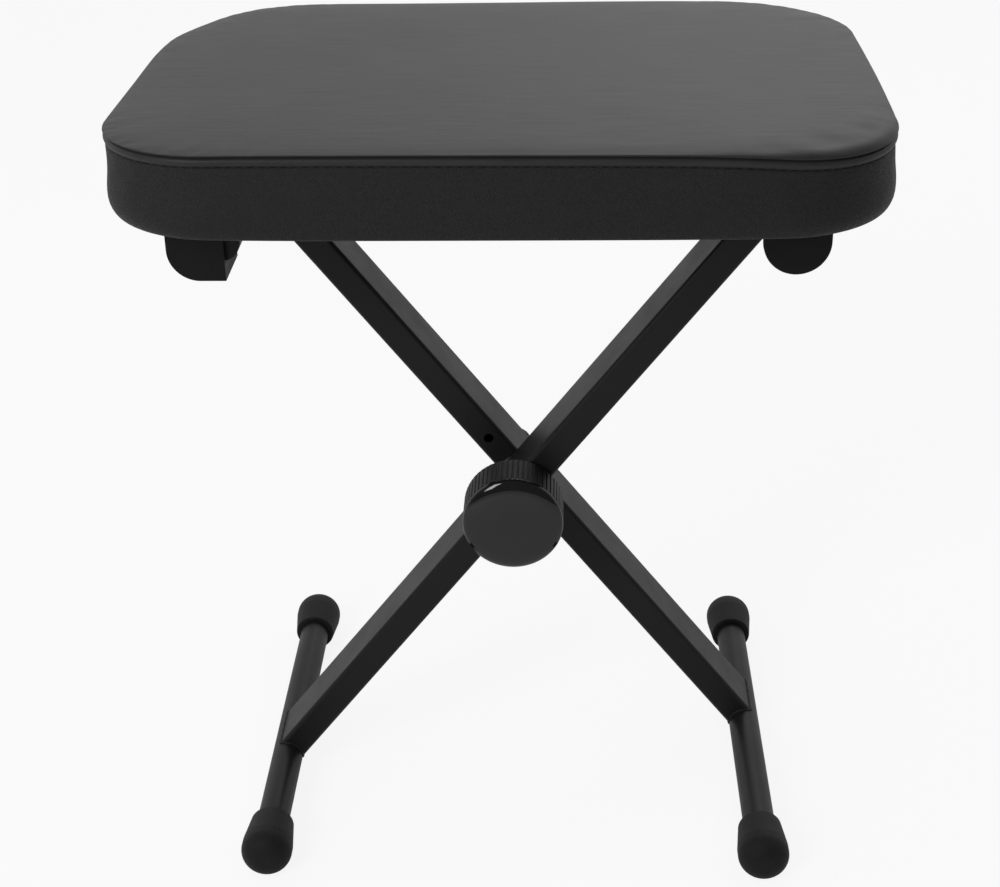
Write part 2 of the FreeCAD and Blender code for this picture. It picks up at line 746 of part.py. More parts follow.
hole_depth = top_z + flange_z + size("screw_length") - board_z + size("rest_play")
make_sheet("seat_board", size("board_inset"), board_z, size("board_thickness"), hole_depth)
make_sheet("base_cloth", size("cloth_inset"), underside_z, size("cloth_thickness"), size("cloth_thickness"))


# Cushion
# The padded form is a loft through level sections, each of four long arcs and four corner arcs.
# A side with no draw still bows by a hair, so that every section has the same kinds of edge.
least_bow = 0.05


def level_section(inset, height, draw):
    """A closed wire at one height, whose sides bow inwards by draw between the corners."""
    half_width = values["seat_width"] / 2 - inset
    half_depth = values["seat_depth"] / 2 - inset
    shrink = half_depth / (values["seat_depth"] / 2)
    middle = FreeCAD.Vector(0, 0, height)
    turns = []
    for side in range(4):
        sign_x = 1 if side in (0, 3) else -1
        sign_y = 1 if side in (0, 1) else -1
        corner = shrink * values["back_corner" if sign_y > 0 else "front_corner"]
        centre = middle + FreeCAD.Vector(sign_x * (half_width - corner), sign_y * (half_depth - corner), 0)
        points = []
        for part in (0, 0.5, 1):
            angle = math.pi / 2 * (side + part)
            points.append(centre + FreeCAD.Vector(corner * math.cos(angle), corner * math.sin(angle), 0))
        turns.append(points)
    edges = []
    for side in range(4):
        start, halfway, end = turns[side]
        edges.append(Part.Arc(start, halfway, end).toShape())
        following = turns[(side + 1) % 4][0]
        chord = following - end
        inward = FreeCAD.Vector(-chord.y, chord.x, 0).normalize() * max(draw, least_bow)
        edges.append(Part.Arc(end, (end + following) / 2 + inward, following).toShape())
    return Part.Wire(edges)


def cushion_form(shrink, bottom, top):
    """The whole padded form between two heights, with every side moved in by shrink."""
    roll = values["edge_roll"]
    draw = values["side_draw"]
    tuck = values["hem_tuck"]
    crown = values["crown_rise"]
    edge_top = top - crown
    seam = edge_top - roll
    band = seam - bottom
    levels = [
        (tuck, bottom, 0.0),
        (tuck * 0.3, bottom + tuck * 0.35, 0.0),
        (0.0, bottom + tuck, 0.0),
        (draw * 0.6, bottom + band * 0.3, draw),
        (draw * 0.6, bottom + band * 0.7, draw),
        (0.0, seam, 0.0),
    ]
    for degrees in (22.5, 45.0, 67.5, 90.0):
        angle = math.radians(degrees)
        levels.append((roll * (1 - math.cos(angle)), seam + roll * math.sin(angle), 0.0))
    for share in (0.3, 0.6, 0.85):
        reach = roll + (values["seat_depth"] / 2 - roll) * share
        levels.append((reach, edge_top + crown * (1 - (1 - share) ** 2), 0.0))
    wires = [level_section(shrink + inset, height, bow) for inset, height, bow in levels]
    return Part.makeLoft(wires, True, True)


def slab(inset, bottom, height):
    """A flat slab with the cushion's rounded outline."""
    half_width = values["seat_width"] / 2 - inset
    half_depth = values["seat_depth"] / 2 - inset
    block = Part.makeBox(half_width * 2, half_depth * 2, height, FreeCAD.Vector(-half_width, -half_depth, bottom))
    for side, corner in ((-1, values["front_corner"]), (1, values["back_corner"])):
        test = upright_corner(side)
        block = block.makeFillet(corner - inset, [edge for edge in block.Edges if test(edge)])
    return block


hem_bottom = hem_z.value
pad_top = hem_bottom + values["pad_thickness"]
cover = values["cover_thickness"]
outer_form = cushion_form(0.0, hem_bottom, pad_top)
inner_form = cushion_form(cover, board_z.value, pad_top - cover)
hem_opening = slab(values["hem_width"], hem_bottom - cover, cover * 2)
board_room = slab(values["board_inset"], board_z.value, values["board_thickness"])

seat_cover = document.addObject("Part::Feature", "seat_cover")
seat_cover.Shape = outer_form.cut(inner_form).cut(hem_opening)
keep(seat_cover, "seat_cover")

seat_foam = document.addObject("Part::Feature", "seat_foam")
seat_foam.Shape = inner_form.cut(board_room)
keep(seat_foam, "seat_foam")

# Check and write
document.recompute()
for item in document.Objects:
    if "Invalid" in item.State or "Error" in item.State:
        raise RuntimeError("%s did not build: %s" % (item.Name, item.State))
for item in exports:
    if item.Shape.isNull() or not item.Shape.isValid() or not item.Shape.Solids:
        raise RuntimeError("%s has no valid solid" % item.Label)

os.makedirs("parts", exist_ok=True)
for item in exports:
    item.Shape.exportStep("parts/%s.step" % item.Label)
    box = item.Shape.BoundBox
    corners = (box.XMin, box.YMin, box.ZMin, box.XMax, box.YMax, box.ZMax)
    print("%-22s %d solid  %s" % (item.Label, len(item.Shape.Solids), " ".join("%.2f" % c for c in corners)))
print("%d sub-parts" % len(exports))
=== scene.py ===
# %% [markdown]
# # A folding keyboard bench
# The bench is a padded seat on two crossed legs, locked where they cross by a round clamp knob.
# Its rigid pieces come ready made as a frame, in metres, with +Z up and the knob facing -Y.
# This lesson dresses them: it sews the seat's cover, adds stitches, welds, staples and screws,
# and gives every piece the finish of the real one.

# %% Load the frame
import json
import math
import bpy
from mathutils import Matrix, Vector, noise


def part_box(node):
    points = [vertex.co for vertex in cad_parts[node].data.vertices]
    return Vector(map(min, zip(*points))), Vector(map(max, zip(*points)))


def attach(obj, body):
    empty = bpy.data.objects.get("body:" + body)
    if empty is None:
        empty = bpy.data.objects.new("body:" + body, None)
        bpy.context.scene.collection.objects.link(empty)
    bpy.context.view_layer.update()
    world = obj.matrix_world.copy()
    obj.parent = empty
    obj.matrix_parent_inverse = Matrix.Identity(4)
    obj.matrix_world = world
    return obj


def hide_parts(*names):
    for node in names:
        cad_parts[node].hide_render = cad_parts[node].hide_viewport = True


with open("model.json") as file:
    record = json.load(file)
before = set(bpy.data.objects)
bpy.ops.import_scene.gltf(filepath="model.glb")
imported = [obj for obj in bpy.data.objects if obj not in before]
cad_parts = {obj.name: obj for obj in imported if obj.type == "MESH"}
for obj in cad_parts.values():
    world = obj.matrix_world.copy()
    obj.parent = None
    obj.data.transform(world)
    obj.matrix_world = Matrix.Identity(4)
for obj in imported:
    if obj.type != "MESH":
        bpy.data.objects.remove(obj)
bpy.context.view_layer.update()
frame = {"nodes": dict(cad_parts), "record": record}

millimetre = 0.001

# %% [markdown]
# ## The camera
# A photograph's perspective follows from where the lens stood. The camera stands a metre in front of
# the bench and above it, looks down by its pitch and a little to the left, and is rolled by one degree.

# %% Camera
camera_place = Vector((0.0318, -0.9710, 0.7127))
pitch = 0.475
swing = 0.039
roll = 0.017

ahead = Vector((
    -math.sin(swing) * math.cos(pitch),
    math.cos(swing) * math.cos(pitch),
    -math.sin(pitch),
))
level_right = Vector((math.cos(swing), math.sin(swing), 0))
level_down = ahead.cross(level_right)
camera_right = level_right * math.cos(roll) + level_down * math.sin(roll)
camera_down = level_down * math.cos(roll) - level_right * math.sin(roll)

lens = bpy.data.cameras.new("camera")
lens.sensor_fit = "HORIZONTAL"
lens.sensor_width = 36
lens.lens = 64.8
lens.clip_end = 50
camera = bpy.data.objects.new("camera", lens)
turn = Matrix((camera_right, -camera_down, -ahead)).transposed()
camera.matrix_world = Matrix.Translation(camera_place) @ turn.to_4x4()
bpy.context.scene.collection.objects.link(camera)
bpy.context.scene.camera = camera

# %% [markdown]
# ## Small tools for node graphs
# A material is a graph of nodes. A helper adds a node and fills its inputs in one call: an input that is
# given a socket is linked, and any other is set as a plain number on the socket itself.

# %% A helper that adds a node
def add_node(graph, kind, values=(), **settings):
    """Adds a node. Settings are its properties, and values fill its inputs by name or place."""
    node = graph.nodes.new(kind)
    for name, setting in settings.items():
        setattr(node, name, setting)
    for name, value in dict(values).items():
        socket = node.inputs[name]
        if isinstance(value, bpy.types.NodeSocket):
            graph.links.new(value, socket)
        else:
            socket.default_value = value
    return node


def add_math(graph, operation, first, second=0.0, clamp=False):
    values = {0: first, 1: second}
    return add_node(graph, "ShaderNodeMath", values, operation=operation, use_clamp=clamp).outputs[0]


def add_vector(graph, operation, first, second):
    values = {0: first, 1: second}
    return add_node(graph, "ShaderNodeVectorMath", values, operation=operation).outputs[0]


def add_range(graph, value, low, high, to_low=0.0, to_high=1.0):
    """Maps a value from one range to another, and stops at both ends."""
    values = {0: value, 1: low, 2: high, 3: to_low, 4: to_high}
    return add_node(graph, "ShaderNodeMapRange", values).outputs[0]


def add_noise(graph, point, scale, detail, roughness=0.5):
    values = {"Vector": point, "Scale": scale, "Detail": detail, "Roughness": roughness}
    return add_node(graph, "ShaderNodeTexNoise", values)


def add_blend(graph, factor, first, second):
    """Mixes two colours."""
    return add_node(graph, "ShaderNodeMix", {0: factor, 6: first, 7: second}, data_type="RGBA").outputs[2]


def grey(level, tint=(1, 1, 1)):
    return (level * tint[0], level * tint[1], level * tint[2], 1)


# %% [markdown]
# ## Effects that several finishes share
# Grain, brushed streaks and settled dust are on more than one finish, so each is a shader node group
# that is built once. A group has named inputs, puts out only a mask or a height, and is placed in each
# material with its own values.

# %% A helper that starts a node group
def start_group(name, inputs, outputs):
    graph = bpy.data.node_groups.new(name, "ShaderNodeTree")
    for label, kind, value in inputs:
        socket = graph.interface.new_socket(label, in_out="INPUT", socket_type=kind)
        socket.default_value = value
    for label in outputs:
        graph.interface.new_socket(label, in_out="OUTPUT", socket_type="NodeSocketFloat")
    return graph, graph.nodes.new("NodeGroupInput"), graph.nodes.new("NodeGroupOutput")


NUMBER = "NodeSocketFloat"
POINT = "NodeSocketVector"

# %% Pebbled grain
def make_pebble_grain():
    """Rounded cells with creases between them, as in embossed leatherette or textured plastic."""
    inputs = [("Point", POINT, (0, 0, 0)), ("Cells per metre", NUMBER, 900), ("Wander", NUMBER, 0.5)]
    graph, taken, given = start_group("pebble_grain", inputs, ["Height", "Crease"])
    wander = add_noise(graph, taken.outputs["Point"], 260.0, 2.0)
    drift = add_vector(graph, "SUBTRACT", wander.outputs["Color"], (0.5, 0.5, 0.5))
    amount = add_math(graph, "DIVIDE", taken.outputs["Wander"], taken.outputs["Cells per metre"])
    drift = add_vector(graph, "MULTIPLY", drift, amount)
    cells = add_node(graph, "ShaderNodeTexVoronoi", {
        "Vector": add_vector(graph, "ADD", taken.outputs["Point"], drift),
        "Scale": taken.outputs["Cells per metre"],
    }, feature="DISTANCE_TO_EDGE")
    pebble = add_range(graph, cells.outputs["Distance"], 0.02, 0.34)
    fine = add_noise(graph, taken.outputs["Point"], 5200.0, 1.0)
    height = add_math(graph, "MULTIPLY_ADD", fine.outputs[0], 0.25)
    graph.links.new(pebble, height.node.inputs[2])
    crease = add_math(graph, "SUBTRACT", 1.0, pebble, clamp=True)
    graph.links.new(height, given.inputs["Height"])
    graph.links.new(crease, given.inputs["Crease"])
    return graph


pebble_grain = make_pebble_grain()

# %% Streaks along one direction
def make_streaks():
    """Long thin streaks, as on brushed leatherette, drawn steel and the face of a board."""
    inputs = [("Point", POINT, (0, 0, 0)), ("Stretch", POINT, (12, 500, 500)), ("Fine share", NUMBER, 0.4)]
    graph, taken, given = start_group("streaks", inputs, ["Broad", "Fine"])
    pulled = add_vector(graph, "MULTIPLY", taken.outputs["Point"], taken.outputs["Stretch"])
    broad = add_noise(graph, pulled, 1.0, 3.0, 0.6)
    fine = add_noise(graph, add_vector(graph, "MULTIPLY", pulled, (3.1, 3.7, 3.3)), 1.0, 2.0)
    both = add_node(graph, "ShaderNodeMix", {
        0: taken.outputs["Fine share"], 2: broad.outputs[0], 3: fine.outputs[0],
    })
    graph.links.new(broad.outputs[0], given.inputs["Broad"])
    graph.links.new(both.outputs[0], given.inputs["Fine"])
    return graph


streaks = make_streaks()

# %% Settled dust and handling marks
def make_dust():
    """A soft uneven film, thicker where a surface faces up."""
    inputs = [("Point", POINT, (0, 0, 0)), ("Patches per metre", NUMBER, 30), ("On top", NUMBER, 0.6)]
    graph, taken, given = start_group("dust", inputs, ["Film", "Patches"])
    patches = add_noise(graph, taken.outputs["Point"], taken.outputs["Patches per metre"], 5.0, 0.65)
    facing = add_node(graph, "ShaderNodeNewGeometry")
    parts = add_node(graph, "ShaderNodeSeparateXYZ", {0: facing.outputs["Normal"]})
    upward = add_range(graph, parts.outputs[2], 0.2, 1.0)
    share = add_math(graph, "MULTIPLY", upward, taken.outputs["On top"])
    share = add_math(graph, "ADD", share, 0.25)
    spread = add_range(graph, patches.outputs[0], 0.35, 0.75)
    film = add_math(graph, "MULTIPLY", share, spread, clamp=True)
    graph.links.new(film, given.inputs["Film"])
    graph.links.new(spread, given.inputs["Patches"])
    return graph


dust = make_dust()

# %% [markdown]
# ## A start for every finish
# Each finish begins as one Principled shader whose steady values are plain numbers on its own sockets.
# What varies over the surface is then linked: a colour, a roughness and a bump.
# Patterns read Object coordinates, because every piece keeps its place in its mesh.
# The finishes are collected by name, so that the frame's pieces can be given theirs at the end.

# %% Start a finish
finishes = {}


def start_finish(name, level, roughness, tint=(1, 1, 1), metallic=0.0, specular=0.5):
    material = bpy.data.materials.new(name)
    finishes[name] = material
    material.use_nodes = True
    graph = material.node_tree
    shader = graph.nodes["Principled BSDF"]
    shader.inputs["Base Color"].default_value = grey(level, tint)
    shader.inputs["Roughness"].default_value = roughness
    shader.inputs["Metallic"].default_value = metallic
    shader.inputs["Specular IOR Level"].default_value = specular
    material.diffuse_color = grey(level, tint)
    point = add_node(graph, "ShaderNodeTexCoord").outputs["Object"]
    return material, graph, shader, point


def place_group(graph, group, values):
    return add_node(graph, "ShaderNodeGroup", values, node_tree=group)


def link_finish(graph, shader, tone, gloss=None):
    """Gives the shader a colour that varies, and a roughness that does if there is one."""
    graph.links.new(tone, shader.inputs["Base Color"])
    if gloss is not None:
        graph.links.new(gloss, shader.inputs["Roughness"])


def raise_bump(graph, shader, height, depth, strength=1.0, after=None):
    """Adds a bump of a real depth, in metres, over any bump that comes before it."""
    bump = add_node(graph, "ShaderNodeBump", {"Strength": strength, "Distance": depth, "Height": height})
    if after is not None:
        graph.links.new(after.outputs[0], bump.inputs["Normal"])
    graph.links.new(bump.outputs[0], shader.inputs["Normal"])
    return bump


# %% [markdown]
# ## Leatherette
# The cover is black leatherette. Its top panel is brushed: long faint streaks run from left to right.
# Its side band has a pebbled grain and a darker tone, which is painted shade for the side that faces away
# from the light.
# The narrow strip under the seam is the same leatherette, but it takes the top's lighter material as painted
# light from above.
# So the cover has two materials, a lit and a shaded copy of one leatherette with their own real textures,
# given face by face.

# %% Leatherette for the top panel and the side band
def make_brushed_lit_leatherette():
    # Its tones are a little lighter than the band's: painted light for a panel that faces up, shared by the
    # strip under the seam.
    material, graph, shader, point = start_finish("brushed_lit_leatherette", 0.020, 0.46, specular=0.20)
    lines = place_group(graph, streaks, {"Point": point, "Stretch": (26, 1000, 500), "Fine share": 0.45})
    film = place_group(graph, dust, {"Point": point, "Patches per metre": 14.0, "On top": 0.5})
    tone = add_blend(graph, add_range(graph, lines.outputs["Fine"], 0.3, 0.7), grey(0.016), grey(0.025))
    tone = add_blend(graph, add_math(graph, "MULTIPLY", film.outputs["Film"], 0.06), tone, grey(0.12))
    link_finish(graph, shader, tone, add_range(graph, lines.outputs["Broad"], 0.3, 0.7, 0.42, 0.51))
    bump = raise_bump(graph, shader, lines.outputs["Fine"], 0.00010)
    grain = place_group(graph, pebble_grain, {"Point": point, "Cells per metre": 1500.0})
    raise_bump(graph, shader, grain.outputs["Height"], 0.00003, after=bump)
    return material


def make_pebbled_shaded_leatherette():
    # Its tones are darker than the top's: painted shade for a band that faces the front.
    material, graph, shader, point = start_finish("pebbled_shaded_leatherette", 0.016, 0.50, specular=0.16)
    grain = place_group(graph, pebble_grain, {"Point": point, "Cells per metre": 950.0})
    film = place_group(graph, dust, {"Point": point, "Patches per metre": 22.0})
    tone = add_blend(graph, grain.outputs["Crease"], grey(0.018), grey(0.010))
    tone = add_blend(graph, add_math(graph, "MULTIPLY", film.outputs["Film"], 0.05), tone, grey(0.10))
    link_finish(graph, shader, tone, add_range(graph, grain.outputs["Crease"], 0, 1, 0.44, 0.62))
    raise_bump(graph, shader, grain.outputs["Height"], 0.00014)
    return material


brushed_lit_leatherette = make_brushed_lit_leatherette()
pebbled_shaded_leatherette = make_pebbled_shaded_leatherette()

# %% [markdown]
# ## The cushion's outline
# From above the seat is a rectangle with generous corners, rounder at the back than at the front,
# and its cover is drawn tighter round the back left corner than round the others.
# Points along it are spaced by length, side by side, and each side runs from the middle of one corner
# to the middle of the next. That lets the top be filled later by a simple four-sided patch.

# %% Points along the outline
seat_low, seat_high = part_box("seat_cover")
hem_level = seat_low.z
half_width = seat_high.x
half_depth = seat_high.y
corner_radii = [radius * millimetre for radius in (60, 60, 80, 86)]
outline_counts = (92, 68, 92, 68)
tight_corner = Vector((-half_width + 8 * millimetre, half_depth - 50 * millimetre))
tight_reach = 40 * millimetre
tight_pull = 7.5 * millimetre


def corner_of(number):
    """Centre and radius of a corner: 0 front left, 1 front right, 2 back right, 3 back left."""
    side_x = 1 if number % 4 in (1, 2) else -1
    side_y = 1 if number % 4 in (2, 3) else -1
    radius = corner_radii[number % 4]
    return Vector((side_x * (half_width - radius), side_y * (half_depth - radius))), radius


def outline_side(number, count):
    """Points and outward directions along one side: 0 front, 1 right, 2 back, 3 left."""
    first_centre, first_radius = corner_of(number)
    last_centre, last_radius = corner_of(number + 1)
    facing = math.radians(90 * number - 90)
    straight = (last_centre - first_centre).dot(Vector((-math.sin(facing), math.cos(facing))))
    first_arc = first_radius * math.pi / 4
    last_arc = last_radius * math.pi / 4
    found = []
    for step in range(count):
        travelled = (first_arc + straight + last_arc) * step / count
        angle = facing
        along = 0.0
        centre, radius = first_centre, first_radius
        if travelled < first_arc:
            angle = facing - math.pi / 4 + travelled / first_radius
        elif travelled < first_arc + straight:
            along = travelled - first_arc
        else:
            centre, radius = last_centre, last_radius
            angle = facing + (travelled - first_arc - straight) / last_radius
        outward = Vector((math.cos(angle), math.sin(angle)))
        sideways = Vector((-math.sin(facing), math.cos(facing)))
        spot = centre + outward * radius + sideways * along
        pulled = tight_pull * math.exp(-((spot - tight_corner).length / tight_reach) ** 2)
        found.append((spot - outward * pulled, outward))
    return found


outline = []
for number, count in enumerate(outline_counts):
    outline.extend(outline_side(number, count))
print("outline points:", len(outline))

# %% [markdown]
# ## The cushion's section
# The cover is drawn over the board, so its side band swells a little above the hem and is drawn in
# under the front corners.
# Below the seam a folded strip is held by a line of stitches, the seam itself is a narrow groove,
# and above it the top panel rolls over the edge. The seam isn't level: it drops at one front corner.
# Each row below is a ring round the whole cushion: how far in from the outline, and how high.

# %% Rings from the hem to the top
pad_height = seat_high.z - seat_low.z
crown = 0.7 * millimetre
edge_height = pad_height - 1.3 * millimetre
seam_height = 43.2 * millimetre
seam_drop = 4.5 * millimetre
drop_reach = 85 * millimetre
drop_corner = Vector((half_width, -half_depth))
band_rings = [
    (18.0, 0.0), (12.0, 0.0), (7.0, 0.0), (3.2, 0.05), (1.4, 0.45), (0.5, 1.3),
    (-0.1, 3.0), (-0.7, 7.0), (-0.9, 12.0), (-0.5, 17.5), (0.1, 22.5), (0.5, 27.5), (0.8, 32.0),
]
strip_rings = [
    (0.9, -7.0), (1.0, -5.8), (1.25, -5.2), (1.9, -4.8), (0.95, -4.3), (0.35, -3.3),
    (0.15, -2.1), (0.5, -1.0), (1.3, -0.4), (2.7, 0.0), (1.0, 0.4), (0.2, 0.9), (-0.2, 1.4),
]
roll_turns = (25, 50, 72, 90)
roll_width = 6.5
stitch_ring = len(band_rings) + 3
seam_ring = len(band_rings) + 9


def seam_level(spot):
    """Height of the seam above the hem at one spot of the outline."""
    away = (spot - drop_corner).length / drop_reach
    wander = noise.noise(Vector((spot.x * 9, spot.y * 9, 4.0))) * 0.5 * millimetre
    return seam_height - seam_drop * math.exp(-away * away) + wander


foot_tuck = 3.5 * millimetre
tuck_height = 9 * millimetre
tuck_reach = 60 * millimetre
lean_left = 0.7 * millimetre
lean_start = 20 * millimetre
lean_run = 90 * millimetre


def corner_tuck(spot, height):
    """How far the hem is drawn in round the front corners, fading out upwards and sideways."""
    corner = Vector((half_width, -half_depth)) - Vector((18, -18)) * millimetre
    away = (Vector((abs(spot.x), spot.y)) - corner).length / tuck_reach
    fade = max(1 - height / tuck_height, 0) ** 2
    return foot_tuck * fade * math.exp(-away * away)


def lean(spot):
    """The front of the cushion sits a little to the left of its board."""
    return -lean_left * min(max((-spot.y - lean_start) / lean_run, 0), 1)


def cushion_ring(inset, height):
    """One ring; the height is a function of the place along the outline."""
    ring = []
    for spot, outward in outline:
        rise = height(spot)
        place = spot - outward * (inset + corner_tuck(spot, rise))
        ring.append(Vector((place.x + lean(spot), place.y, hem_level + rise)))
    return ring


rings = []
for inset, height in band_rings:
    rings.append(cushion_ring(inset * millimetre, lambda spot, level=height: level * millimetre))
for inset, height in strip_rings:
    rings.append(cushion_ring(
        inset * millimetre, lambda spot, level=height: seam_level(spot) + level * millimetre))
roll_start = strip_rings[-1][1] * millimetre
for degrees in roll_turns:
    angle = math.radians(degrees)
    inset = (strip_rings[-1][0] + roll_width * (1 - math.cos(angle))) * millimetre

    def roll_height(spot, rise=math.sin(angle)):
        low = seam_level(spot) + roll_start
        return low + (edge_height - low) * rise

    rings.append(cushion_ring(inset, roll_height))
print("rings:", len(rings))

# %% [markdown]
# ## Filling the top and the underside
# A ring is closed by a patch of four-sided faces. A Coons patch blends the ring's four sides,
# so its rows and columns run smoothly from side to side and never meet in a pole.
# The top's height then follows the distance from the edge, which gives a slight even crown.

# %% A four-sided patch inside a ring
def patch_faces(vertices, ring_start, shape_height):
    """Adds the inside points of a patch to vertices and returns its faces, seen from above."""
    wide, deep = outline_counts[0], outline_counts[1]
    ring = [vertices[ring_start + index] for index in range(len(outline))]

    def rim(column, row):
        if row == 0:
            return column
        if column == wide:
            return wide + row
        if row == deep:
            return wide + deep + (wide - column)
        return (2 * wide + deep + (deep - row)) % len(outline)

    corners = {(a, b): ring[rim(a * wide, b * deep)] for a in (0, 1) for b in (0, 1)}
    index_of = {}
    for row in range(deep + 1):
        for column in range(wide + 1):
            if row in (0, deep) or column in (0, wide):
                index_of[column, row] = ring_start + rim(column, row)
                continue
            across = column / wide
            up = row / deep
            place = (
                ring[rim(column, 0)] * (1 - up) + ring[rim(column, deep)] * up
                + ring[rim(0, row)] * (1 - across) + ring[rim(wide, row)] * across
                - corners[0, 0] * (1 - across) * (1 - up) - corners[1, 0] * across * (1 - up)
                - corners[0, 1] * (1 - across) * up - corners[1, 1] * across * up
            )
            index_of[column, row] = len(vertices)
            vertices.append(Vector((place.x, place.y, shape_height(place))))
    return [
        (index_of[column, row], index_of[column + 1, row],
         index_of[column + 1, row + 1], index_of[column, row + 1])
        for row in range(deep) for column in range(wide)
    ]


def depth_inside(place):
    """How far a point lies inside the seat's outline."""
    radius = corner_radii[(3 if place.x < 0 else 2) if place.y > 0 else 0]
    over_x = abs(place.x) - (half_width - radius)
    over_y = abs(place.y) - (half_depth - radius)
    outside = math.hypot(max(over_x, 0), max(over_y, 0))
    return radius - outside - min(max(over_x, over_y), 0)


crown_reach = 26 * millimetre


def top_height(place):
    """The crown, with the slight unevenness of foam under a stretched cover."""
    inside = max(depth_inside(place) - (roll_width + 0.2) * millimetre, 0)
    rise = 1 - math.exp(-inside / crown_reach)
    uneven = noise.noise(Vector((place.x * 14, place.y * 14, 1.5))) * 0.28 * millimetre
    return hem_level + edge_height + crown * rise + uneven * rise


# %% Make the cushion's mesh
def link_piece(name, data):
    piece = bpy.data.objects.new(name, data)
    bpy.context.scene.collection.objects.link(piece)
    return piece


def make_mesh_piece(name, vertices, faces, materials):
    mesh = bpy.data.meshes.new(name)
    mesh.from_pydata([tuple(vertex) for vertex in vertices], [], faces)
    for material in materials:
        mesh.materials.append(material)
    mesh.validate()
    mesh.update()
    return link_piece(name, mesh)


ring_size = len(outline)
cushion_vertices = [vertex for ring in rings for vertex in ring]
band_faces = []
for level in range(len(rings) - 1):
    for index in range(ring_size):
        low = level * ring_size
        following = (index + 1) % ring_size
        high = low + ring_size
        band_faces.append((low + index, low + following, high + following, high + index))
top_faces = patch_faces(cushion_vertices, (len(rings) - 1) * ring_size, top_height)
under_faces = patch_faces(cushion_vertices, 0, lambda place: hem_level)
under_faces = [tuple(reversed(face)) for face in under_faces]

cushion = make_mesh_piece(
    "cushion", cushion_vertices, band_faces + top_faces + under_faces, [pebbled_shaded_leatherette, brushed_lit_leatherette])
# From the stitch line up, the strip under the seam included, the faces take the lit copy of the leatherette:
# painted light from above.
lit_faces_start = stitch_ring * ring_size
top_end = len(band_faces) + len(top_faces)
for face in cushion.data.polygons:
    face.material_index = 1 if lit_faces_start <= face.index < top_end else 0
    face.use_smooth = True
print("cushion faces:", len(cushion.data.polygons))

# %% [markdown]
# ## Letting the foam fill the cover
# Foam presses a sewn cover outwards everywhere except where thread or staples hold it.
# Blender's cloth solver shows where: the hem and the seam are pinned, pressure pushes from inside,
# and the mesh is left to settle. A stiff seat pad bulges by a millimetre and not by twenty,
# so the solver's answer is kept as a direction, and its size is held under a limit.

# %% Settle the cover
bulge_limit = 0.9 * millimetre
settle_frames = 18


def pinned_rings():
    """Rings that thread or staples hold, with how firmly."""
    held = {ring: 1.0 for ring in range(4)}
    for ring in range(stitch_ring - 1, seam_ring + 3):
        held[ring] = 0.85
    held[stitch_ring] = 1.0
    held[seam_ring] = 1.0
    return held


def settle_cover(piece):
    pins = piece.vertex_groups.new(name="held")
    for ring, firmness in pinned_rings().items():
        pins.add(list(range(ring * ring_size, (ring + 1) * ring_size)), firmness, "REPLACE")
    under_start = len(rings) * ring_size + (outline_counts[0] - 1) * (outline_counts[1] - 1)
    pins.add(list(range(under_start, len(piece.data.vertices))), 1.0, "REPLACE")
    cloth = piece.modifiers.new("cover", "CLOTH")
    cloth.settings.quality = 4
    cloth.settings.mass = 0.25
    cloth.settings.use_pressure = True
    cloth.settings.uniform_pressure_force = 4
    cloth.settings.vertex_group_mass = pins.name
    cloth.settings.effector_weights.gravity = 0
    cloth.collision_settings.use_collision = False
    cloth.collision_settings.use_self_collision = False
    cloth.point_cache.frame_start = 1
    cloth.point_cache.frame_end = settle_frames
    stage_scene = bpy.context.scene
    for frame_number in range(1, settle_frames + 1):
        stage_scene.frame_set(frame_number)
    settled = piece.evaluated_get(bpy.context.evaluated_depsgraph_get())
    places = [vertex.co.copy() for vertex in settled.data.vertices]
    piece.modifiers.remove(cloth)
    piece.vertex_groups.remove(pins)
    stage_scene.frame_set(1)
    return places


largest = 0.0
for vertex, place in zip(cushion.data.vertices, settle_cover(cushion)):
    shift = place - vertex.co
    largest = max(largest, shift.length)
    vertex.co += shift * (bulge_limit / (bulge_limit + shift.length))
print("largest push before the limit, mm:", round(largest / millimetre, 2))

stitch_start = stitch_ring * ring_size
stitch_line = [cushion.data.vertices[stitch_start + index].co.copy() for index in range(ring_size)]
smoother = cushion.modifiers.new("smoother", "SUBSURF")
smoother.levels = 1
smoother.render_levels = 1


# %% [markdown]
# ## Making a modifier's result plain
# Modifiers stay live until their result is asked for. The evaluated object gives that result,
# new_from_object makes it a mesh of its own, and the modifiers then go.

# %% A helper that keeps a result
def keep_result(piece):
    settled = piece.evaluated_get(bpy.context.evaluated_depsgraph_get())
    mesh = bpy.data.meshes.new_from_object(settled)
    piece.modifiers.clear()
    piece.data = mesh
    return piece


keep_result(cushion)
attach(cushion, "seat")
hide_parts("seat_cover", "seat_foam")

# %% [markdown]
# ## Small tools for Geometry Nodes
# What repeats along a line is made by Geometry Nodes: the tree takes a line, spaces points on it,
# and puts a copy of a small shape at each. Every tree here has named inputs and ends in
# Realize Instances and Set Material, so that real faces with a material come out.
# Stitches and staples are both spaced along a line and turned with it, so they share one function.

# %% Start and end a geometry tree
def start_tree(name, inputs):
    tree = bpy.data.node_groups.new(name, "GeometryNodeTree")
    tree.interface.new_socket("Geometry", in_out="INPUT", socket_type="NodeSocketGeometry")
    for label, kind, value in inputs:
        socket = tree.interface.new_socket(label, in_out="INPUT", socket_type=kind)
        socket.default_value = value
    tree.interface.new_socket("Geometry", in_out="OUTPUT", socket_type="NodeSocketGeometry")
    return tree, tree.nodes.new("NodeGroupInput")


